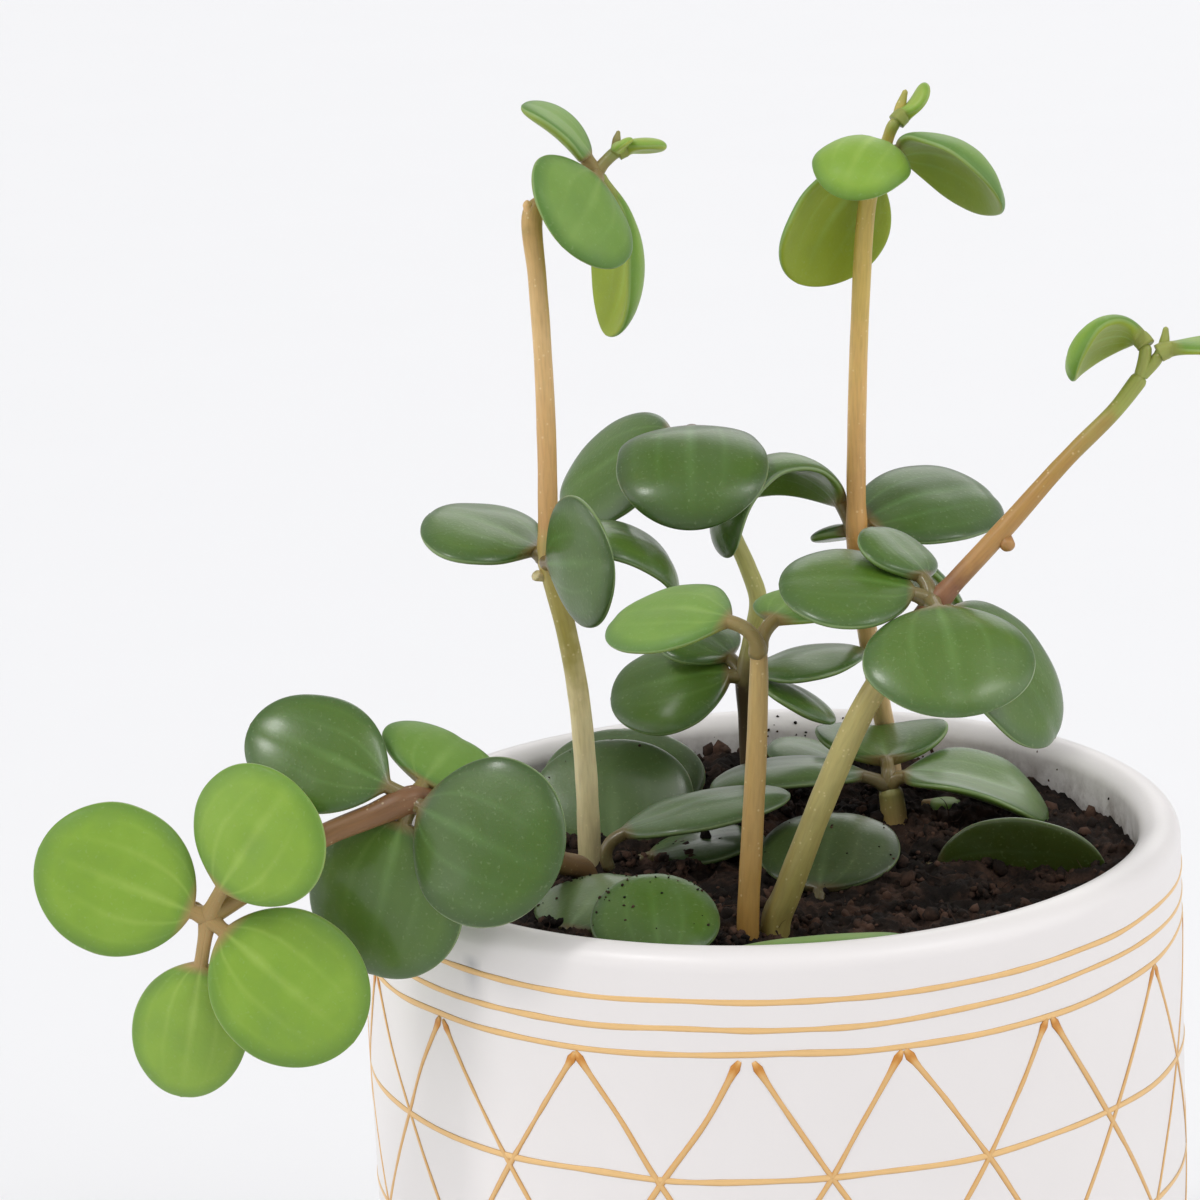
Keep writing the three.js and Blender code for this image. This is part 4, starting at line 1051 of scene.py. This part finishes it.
def wall_dirt():
    """Crumbs that stick to the inner wall above the soil, over its back half, with a patch near the lip."""
    draw = np.random.default_rng(SEEDS["dirt"])
    angle = np.radians(np.concatenate([draw.normal(82, 9, HIGH_DIRT), draw.uniform(-10, 190, LOW_DIRT)]))
    height = np.concatenate([draw.uniform(105.5, 109.6, HIGH_DIRT), 103.4 + draw.gamma(1.4, 0.9, LOW_DIRT)])
    radii = draw.uniform(0.12, 0.4, HIGH_DIRT + LOW_DIRT) ** 1.2
    # Over the lip's round the wall falls back, by the circle of the lip.
    over = np.maximum(height - (POT_HEIGHT - LIP_ROUND), 0)
    reach = POT_INNER + LIP_ROUND - np.sqrt(np.maximum(LIP_ROUND**2 - over**2, 0)) - 0.05
    centres = np.stack([reach * np.cos(angle), reach * np.sin(angle), height], -1)
    return crumb_mesh(centres, radii, SEEDS["dirt shapes"])


# ---------------------------------------------------------------- stems


def curve_through(points, per_step):
    """The centripetal Catmull-Rom curve through the points: cubic pieces whose knots lie the root of
    the distance apart. Returns its points and directions."""
    points = np.asarray(points, float)
    ends = [2 * points[0] - points[1], 2 * points[-1] - points[-2]]
    padded = np.vstack([ends[:1], points, ends[1:]])
    gaps = np.sqrt(np.linalg.norm(np.diff(padded, axis=0), axis=1))
    t = np.linspace(0, len(points) - 1, (len(points) - 1) * per_step + 1)
    at = np.minimum(t.astype(int), len(points) - 2)
    part = (t - at)[:, None]
    p0, p1, p2, p3 = (padded[at + i] for i in range(4))
    d0, d1, d2 = (gaps[at + i][:, None] for i in range(3))
    m1 = ((p1 - p0) / d0 - (p2 - p0) / (d0 + d1) + (p2 - p1) / d1) * d1
    m2 = ((p2 - p1) / d1 - (p3 - p1) / (d1 + d2) + (p3 - p2) / d2) * d1
    c2 = -3 * p1 + 3 * p2 - 2 * m1 - m2
    c3 = 2 * p1 - 2 * p2 + m1 + m2
    return p1 + m1 * part + c2 * part**2 + c3 * part**3, unit(m1 + 2 * c2 * part + 3 * c3 * part**2)


def stem_tube(rows, settings, seed, low=0.0, high=1.0):
    """A round tube along the curve: centre + r (cos a side + sin a up). The radius runs smoothly
    between the given ones, wavers by 2 percent and carries fine ridges lengthwise. Its far end is
    rounded off. Low and high are the shares of the whole stem's length at its two ends."""
    rows = np.asarray(rows, float)
    middle, ahead = curve_through(rows[:, :3], STEM_STEPS)
    at = np.linspace(0, len(rows) - 1, len(middle))
    before = np.minimum(at.astype(int), len(rows) - 2)
    part = smooth(at - before)
    radius = (rows[before, 3] * (1 - part) + rows[before + 1, 3] * part) / 2
    along = np.concatenate([[0], np.cumsum(np.linalg.norm(np.diff(middle, axis=0), axis=1))])
    end = np.clip((along[-1] - along) / radius[-1], 0, 1)
    radius = radius * np.sqrt(1 - (1 - end) ** 2 * 0.98)
    sides = []
    side = np.array([1.0, 0.0, 0.0])
    for way in ahead:
        side = unit(side - way * (side @ way))
        sides.append(side)
    sides = np.array(sides)
    ups = np.cross(ahead, sides)
    turn = np.linspace(0, 2 * np.pi, STEM_AROUND, endpoint=False)
    # The ridges' noise is drawn out lengthwise.
    skin = np.stack(np.broadcast_arrays(np.cos(turn), np.sin(turn), (along / 14)[:, None]), -1)
    ridge = soft_noise(skin.reshape(-1, 3), 0.3, seed).reshape(len(along), STEM_AROUND)
    swell = soft_noise(along[:, None], 3.5, seed + 1)[:, None] * 0.02
    reach = radius[:, None] * (1 + swell) + ridge * settings.grain / MM * np.minimum(1, radius[:, None])
    grid = middle[:, None] + reach[..., None] * (
        np.cos(turn)[None, :, None] * sides[:, None] + np.sin(turn)[None, :, None] * ups[:, None]
    )
    share = low + (high - low) * along / along[-1]
    bark = np.stack(np.broadcast_arrays(turn * radius.mean(), along[:, None], share[:, None]), -1)
    return with_poles(grid), tube_faces(len(along), STEM_AROUND), with_poles(bark)


def whole_stem(name, settings, seed):
    """A stem's trunk, from below the soil, with its shoots."""
    trunk = STEMS[name]["trunk"]
    x, y, z, diameter = trunk[0]
    tubes = [stem_tube([(x, y, z - BURIED, diameter), *trunk], settings, seed)]
    for number, shoot in enumerate(STEMS[name]["shoots"]):
        near = np.argmin([math.dist(shoot[0][:3], row[:3]) for row in trunk]) / (len(trunk) - 1)
        tubes.append(stem_tube(shoot, settings, seed + 10 + number, near, min(near + 0.05, 1.0)))
    return join_parts(tubes)


# ---------------------------------------------------------------- leaves


def midrib(length, stalk, arch, hook):
    """The midrib in its own upright plane, walked in small steps from the start to the tip and turned
    so that the line between them lies level. Its heading falls by the arch over the blade, and over
    the stalk it first stands up by the hook. Returns the way walked, the share of the blade, x, z and the
    heading at each step, and the blade's length."""
    blade = length - stalk
    for attempt in range(1, WALK_ROUNDS + 1):
        s = np.linspace(0, stalk + blade, WALK + 1)
        share = np.clip((s - stalk) / blade, 0, 1)
        heading = np.radians(hook * (1 - smooth(s / stalk)) + arch * (0.5 - share))
        step = s[1]
        x = np.concatenate([[0], np.cumsum(np.cos(heading[1:]))]) * step
        z = np.concatenate([[0], np.cumsum(np.sin(heading[1:]))]) * step
        if attempt < WALK_ROUNDS:
            blade *= (length / math.hypot(x[-1], z[-1])) ** WALK_CORRECTION
    turn = math.atan2(z[-1], x[-1])
    level = x * math.cos(turn) + z * math.sin(turn)
    rise = z * math.cos(turn) - x * math.sin(turn)
    return s, share, level, rise, heading - turn, blade


def leaf_surface(row, settings, seed):
    """One leaf as rings along its midrib. The half width is a rounded oval of the share s along the
    blade, (4s(1 - s))^p; the section is a full oval, wrapped round a cylinder below it by the cup. Over it
    go slow waves, a channel along the midrib and a margin that wanders a little."""
    _, start, azimuth, pitch, roll, length, width, arch, cup, stalk, hook, *rest = row
    blunt = rest[0] if rest else BLUNT
    on_stem = isinstance(start, str)
    base = np.array(NODES[start] if on_stem else start, float)
    a, p, r = np.radians([azimuth, pitch, roll])
    out = np.array([math.cos(p) * math.cos(a), math.cos(p) * math.sin(a), math.sin(p)])
    level = np.array([-math.sin(a), math.cos(a), 0.0])
    upright = np.cross(out, level)
    side = math.cos(r) * level + math.sin(r) * upright
    up = math.cos(r) * upright - math.sin(r) * level

    walked, *path, blade = midrib(length, stalk, arch, hook)
    on_stalk = np.linspace(0, stalk, STALK_SECTIONS, endpoint=False)
    on_blade = stalk + blade * (1 - np.cos(np.linspace(0, np.pi, BLADE_SECTIONS))) / 2
    s = np.concatenate([on_stalk, on_blade])
    share, x, z, heading = (np.interp(s, walked, values) for values in path)
    middle = base + np.outer(x, out) + np.outer(z, up)
    along = np.outer(np.cos(heading), out) + np.outer(np.sin(heading), up)
    normal = np.cross(along, side)

    oval = np.maximum(4 * share * (1 - share), 0) ** (0.5 + blunt * (1 - share) ** 2)
    thick = STALK + (min(THICKNESS, 0.2 * width + 1) - STALK) * smooth(share / 0.35)
    stalk_width = min(STALK, 0.3 * width + 0.6)
    if stalk_width < STALK:
        thick = thick * stalk_width / STALK
    flare = 0.7 * np.exp(-np.maximum(s - 1.3, 0) / 0.8) * (stalk_width / STALK) if on_stem else 0 * s
    w = np.hypot(width * oval, stalk_width * (1 - share)) + flare
    w = np.maximum(w, 0.25)
    t = thick * np.sqrt(np.maximum(1 - share**8, 0.02)) + flare

    turn = np.linspace(0, 2 * np.pi, LEAF_AROUND, endpoint=False)
    across = np.cos(turn)
    high = np.sign(np.sin(turn)) * np.abs(np.sin(turn)) ** EDGE_POWER
    flat_place = np.stack(
        np.broadcast_arrays(across * w[:, None] / 2, (share * blade)[:, None], np.zeros(LEAF_AROUND)), -1
    ).reshape(-1, 3)
    on = smooth(share / 0.25)[:, None]
    margin = soft_noise(flat_place * [0.35, 1, 1] + [9, 0, 0], 5.5, seed).reshape(len(s), LEAF_AROUND)
    span = across * w[:, None] / 2 * (1 + 0.022 * margin * on)
    size = min(1.0, width / 16)
    wave = soft_noise(flat_place, 6.5, seed + 1).reshape(len(s), LEAF_AROUND)
    wave = wave * settings.waviness / MM * on * size
    channel = np.exp(-((span / 1.1) ** 2)) * np.maximum(high, 0) * settings.channel / MM * on * size
    lift = t[:, None] / 2 * high + wave - channel * np.sqrt(oval)[:, None]
    bend = width / math.radians(cup)
    grid = (
        middle[:, None]
        + side * ((bend + lift) * np.sin(span / bend))[..., None]
        + normal[:, None] * ((bend + lift) * np.cos(span / bend) - bend)[..., None]
    )
    blade_field = np.stack(np.broadcast_arrays(across, share[:, None], w[:, None] / 2), -1)
    underside = np.broadcast_to(smooth(0.5 - 1.6 * high), (len(s), LEAF_AROUND))[..., None]
    return (
        with_poles(grid),
        tube_faces(len(s), LEAF_AROUND),
        with_poles(blade_field),
        with_poles(underside)[:, 0],
    )


def leaf_seed(name):
    """The seed of a leaf's waves and margin, by its place in the tables."""
    return SEEDS["leaves"] + 7 * [*LEAVES, *LEAFLETS].index(name)


def leaf_litter():
    """Soil specks that lie on the low leaves: crumbs at drawn places of a blade's upper face, thicker
    round three spots of each."""
    draw = np.random.default_rng(SEEDS["litter"])
    settings = bpy.context.scene.peperomia_leaves
    centres = []
    for name, count in LITTER.items():
        points, _, blade, underside = leaf_surface(LEAVES[name], settings, leaf_seed(name))
        upper = np.flatnonzero((underside < 0.02) & (blade[:, 1] > 0.25) & (blade[:, 1] < 0.97))
        spot = points[draw.choice(upper, 3)]
        near = points[upper]
        weight = sum(np.exp(-np.linalg.norm(near - middle, axis=1) / 2.5) for middle in spot) + 0.02
        centres.append(near[draw.choice(len(near), count, replace=False, p=weight / weight.sum())])
    centres = np.vstack(centres)
    radii = draw.uniform(0.09, 0.32, len(centres))
    return crumb_mesh(centres + [0, 0, 0.05], radii, SEEDS["litter shapes"])


# ---------------------------------------------------------------- operators


class PEPEROMIA_OT_pot(bpy.types.Operator):
    """Makes the glazed pot"""

    bl_idname = "peperomia.pot"
    bl_label = "Pot"

    def execute(self, context):
        points, faces = pot_surface()
        glaze = glazed_ceramic(context.scene.peperomia_pot)
        make_piece("glazed_pot", points, faces, glaze, ["pot"])
        return {"FINISHED"}


class PEPEROMIA_OT_gold(bpy.types.Operator):
    """Paints the rings and the lattice on the pot"""

    bl_idname = "peperomia.gold"
    bl_label = "Gold lines"

    def execute(self, context):
        settings = context.scene.peperomia_pot
        points, faces, strokes = gold_strokes(settings)
        make_piece("gold_lines", points, faces, gold_paint(settings), fields={"stroke": strokes})
        return {"FINISHED"}


class PEPEROMIA_OT_soil(bpy.types.Operator):
    """Fills the pot with soil, and strews its crumbs, fibres and dirt"""

    bl_idname = "peperomia.soil"
    bl_label = "Soil"

    def execute(self, context):
        settings = context.scene.peperomia_soil
        peat = potting_soil(settings)
        points, faces, dryness = soil_surface()
        make_piece("soil_bed", points, faces, peat, ["soil"], {"dryness": dryness})
        for name, (points, faces, dryness) in {
            "soil_crumbs": soil_crumbs(settings.crumbs),
            "wall_dirt": wall_dirt(),
            "leaf_litter": leaf_litter(),
            "soil_fibres": soil_fibres(settings.fibres),
        }.items():
            make_piece(name, points, faces, peat, fields={"dryness": dryness})
        return {"FINISHED"}


class PEPEROMIA_OT_stems(bpy.types.Operator):
    """Grows the seven stems"""

    bl_idname = "peperomia.stems"
    bl_label = "Stems"

    def execute(self, context):
        settings = context.scene.peperomia_stems
        for number, name in enumerate(STEMS):
            points, faces, bark = whole_stem(name, settings, SEEDS["stems"] + 20 * number)
            skin = stem_skin(name, STEM_COLOURS[name], settings)
            make_piece("fleshy_stem_" + name, points, faces, skin, ["stem_" + name], {"bark": bark})
        return {"FINISHED"}


class PEPEROMIA_OT_leaves(bpy.types.Operator):
    """Grows the leaves and the small folded ones at the tips"""

    bl_idname = "peperomia.leaves"
    bl_label = "Leaves"

    def execute(self, context):
        settings = context.scene.peperomia_leaves
        skins = {tone: leaf_skin(tone, settings) for tone in TONE_COLOURS}
        draw = np.random.default_rng(SEEDS["tints"])
        for name, row in {**LEAVES, **LEAFLETS}.items():
            points, faces, blade, underside = leaf_surface(row, settings, leaf_seed(name))
            tint = np.full(len(points), draw.uniform(0, 1))
            fields = {"blade": blade, "underside": underside, "tint": tint}
            skin = skins[TONES.get(name, USUAL_TONE[row[0]])]
            stood_for = ["leaf_" + name] if name in LEAVES else []
            make_piece("blade_" + name, points, faces, skin, stood_for, fields)
        return {"FINISHED"}


class PEPEROMIA_OT_stage(bpy.types.Operator):
    """Sets the floor, the light and the camera"""

    bl_idname = "peperomia.stage"
    bl_label = "Stage"

    def execute(self, context):
        scene = context.scene
        settings = scene.peperomia_stage
        mesh = bpy.data.meshes.new("floor")
        corners = [(x * FLOOR_REACH, y * FLOOR_REACH, 0) for x, y in ((-1, -1), (1, -1), (1, 1), (-1, 1))]
        mesh.from_pydata(corners, [], [(0, 1, 2, 3)])
        mesh.materials.append(studio_floor(settings))
        floor = bpy.data.objects.new("floor", mesh)
        floor.location.z = -FLOOR_DROP * MM
        scene.collection.objects.link(floor)

        world = bpy.data.worlds.new("studio")
        world.use_nodes = True
        backdrop = world.node_tree.nodes["Background"]
        backdrop.inputs["Color"].default_value = linear("fbfbfd")
        backdrop.inputs["Strength"].default_value = settings.fill
        scene.world = world
        for name, (place, spread, share) in SUNS.items():
            light = bpy.data.lights.new(name, "SUN")
            light.angle = math.radians(spread)
            light.energy = settings.key * share
            lamp = bpy.data.objects.new(name, light)
            lamp.location = place
            lamp.rotation_euler = (-lamp.location).to_track_quat("-Z", "Y").to_euler()
            scene.collection.objects.link(lamp)

        pitch, roll, yaw = map(math.radians, (CAMERA_PITCH, CAMERA_ROLL, CAMERA_YAW))
        ahead = np.array([
            math.sin(yaw) * math.cos(pitch), math.cos(yaw) * math.cos(pitch), -math.sin(pitch)
        ])
        level = np.array([math.cos(yaw), -math.sin(yaw), 0.0])
        above = np.cross(level, ahead)
        right = math.cos(roll) * level + math.sin(roll) * above
        up = -math.sin(roll) * level + math.cos(roll) * above
        lens = bpy.data.cameras.new("camera")
        lens.lens = CAMERA_LENS
        lens.sensor_width = CAMERA_SENSOR
        lens.clip_start, lens.clip_end = 0.05, 50
        camera = bpy.data.objects.new("camera", lens)
        turn = Matrix(np.stack([right, up, -ahead], 1).tolist()).to_4x4()
        camera.matrix_world = Matrix.Translation(CAMERA_PLACE) @ turn
        scene.collection.objects.link(camera)
        scene.camera = camera
        scene.view_settings.view_transform = "Standard"
        return {"FINISHED"}


OPERATORS = (
    PEPEROMIA_OT_pot,
    PEPEROMIA_OT_gold,
    PEPEROMIA_OT_soil,
    PEPEROMIA_OT_stems,
    PEPEROMIA_OT_leaves,
    PEPEROMIA_OT_stage,
)
SETTINGS = {
    "peperomia_pot": PotSettings,
    "peperomia_soil": SoilSettings,
    "peperomia_stems": StemSettings,
    "peperomia_leaves": LeafSettings,
    "peperomia_stage": StageSettings,
}


class PEPEROMIA_PT_sidebar(bpy.types.Panel):
    """Lists the sizes, the colours and the pieces"""

    bl_label = "Potted peperomia"
    bl_idname = "PEPEROMIA_PT_sidebar"
    bl_space_type = "VIEW_3D"
    bl_region_type = "UI"
    bl_category = "Peperomia"

    def draw(self, context):
        for key, kind in SETTINGS.items():
            column = self.layout.column(align=True)
            for field in kind.__annotations__:
                column.prop(getattr(context.scene, key), field)
        for operator in OPERATORS:
            self.layout.operator(operator.bl_idname)


def register():
    for kind in (*SETTINGS.values(), *OPERATORS, PEPEROMIA_PT_sidebar):
        bpy.utils.register_class(kind)
    for key, kind in SETTINGS.items():
        setattr(bpy.types.Scene, key, PointerProperty(type=kind))


def unregister():
    for key in SETTINGS:
        delattr(bpy.types.Scene, key)
    for kind in reversed((*SETTINGS.values(), *OPERATORS, PEPEROMIA_PT_sidebar)):
        bpy.utils.unregister_class(kind)


def main():
    """Makes every piece in order."""
    register()
    for operator in OPERATORS:
        _, name = operator.bl_idname.split(".")
        getattr(bpy.ops.peperomia, name)()


if __name__ == "__main__":
    main()
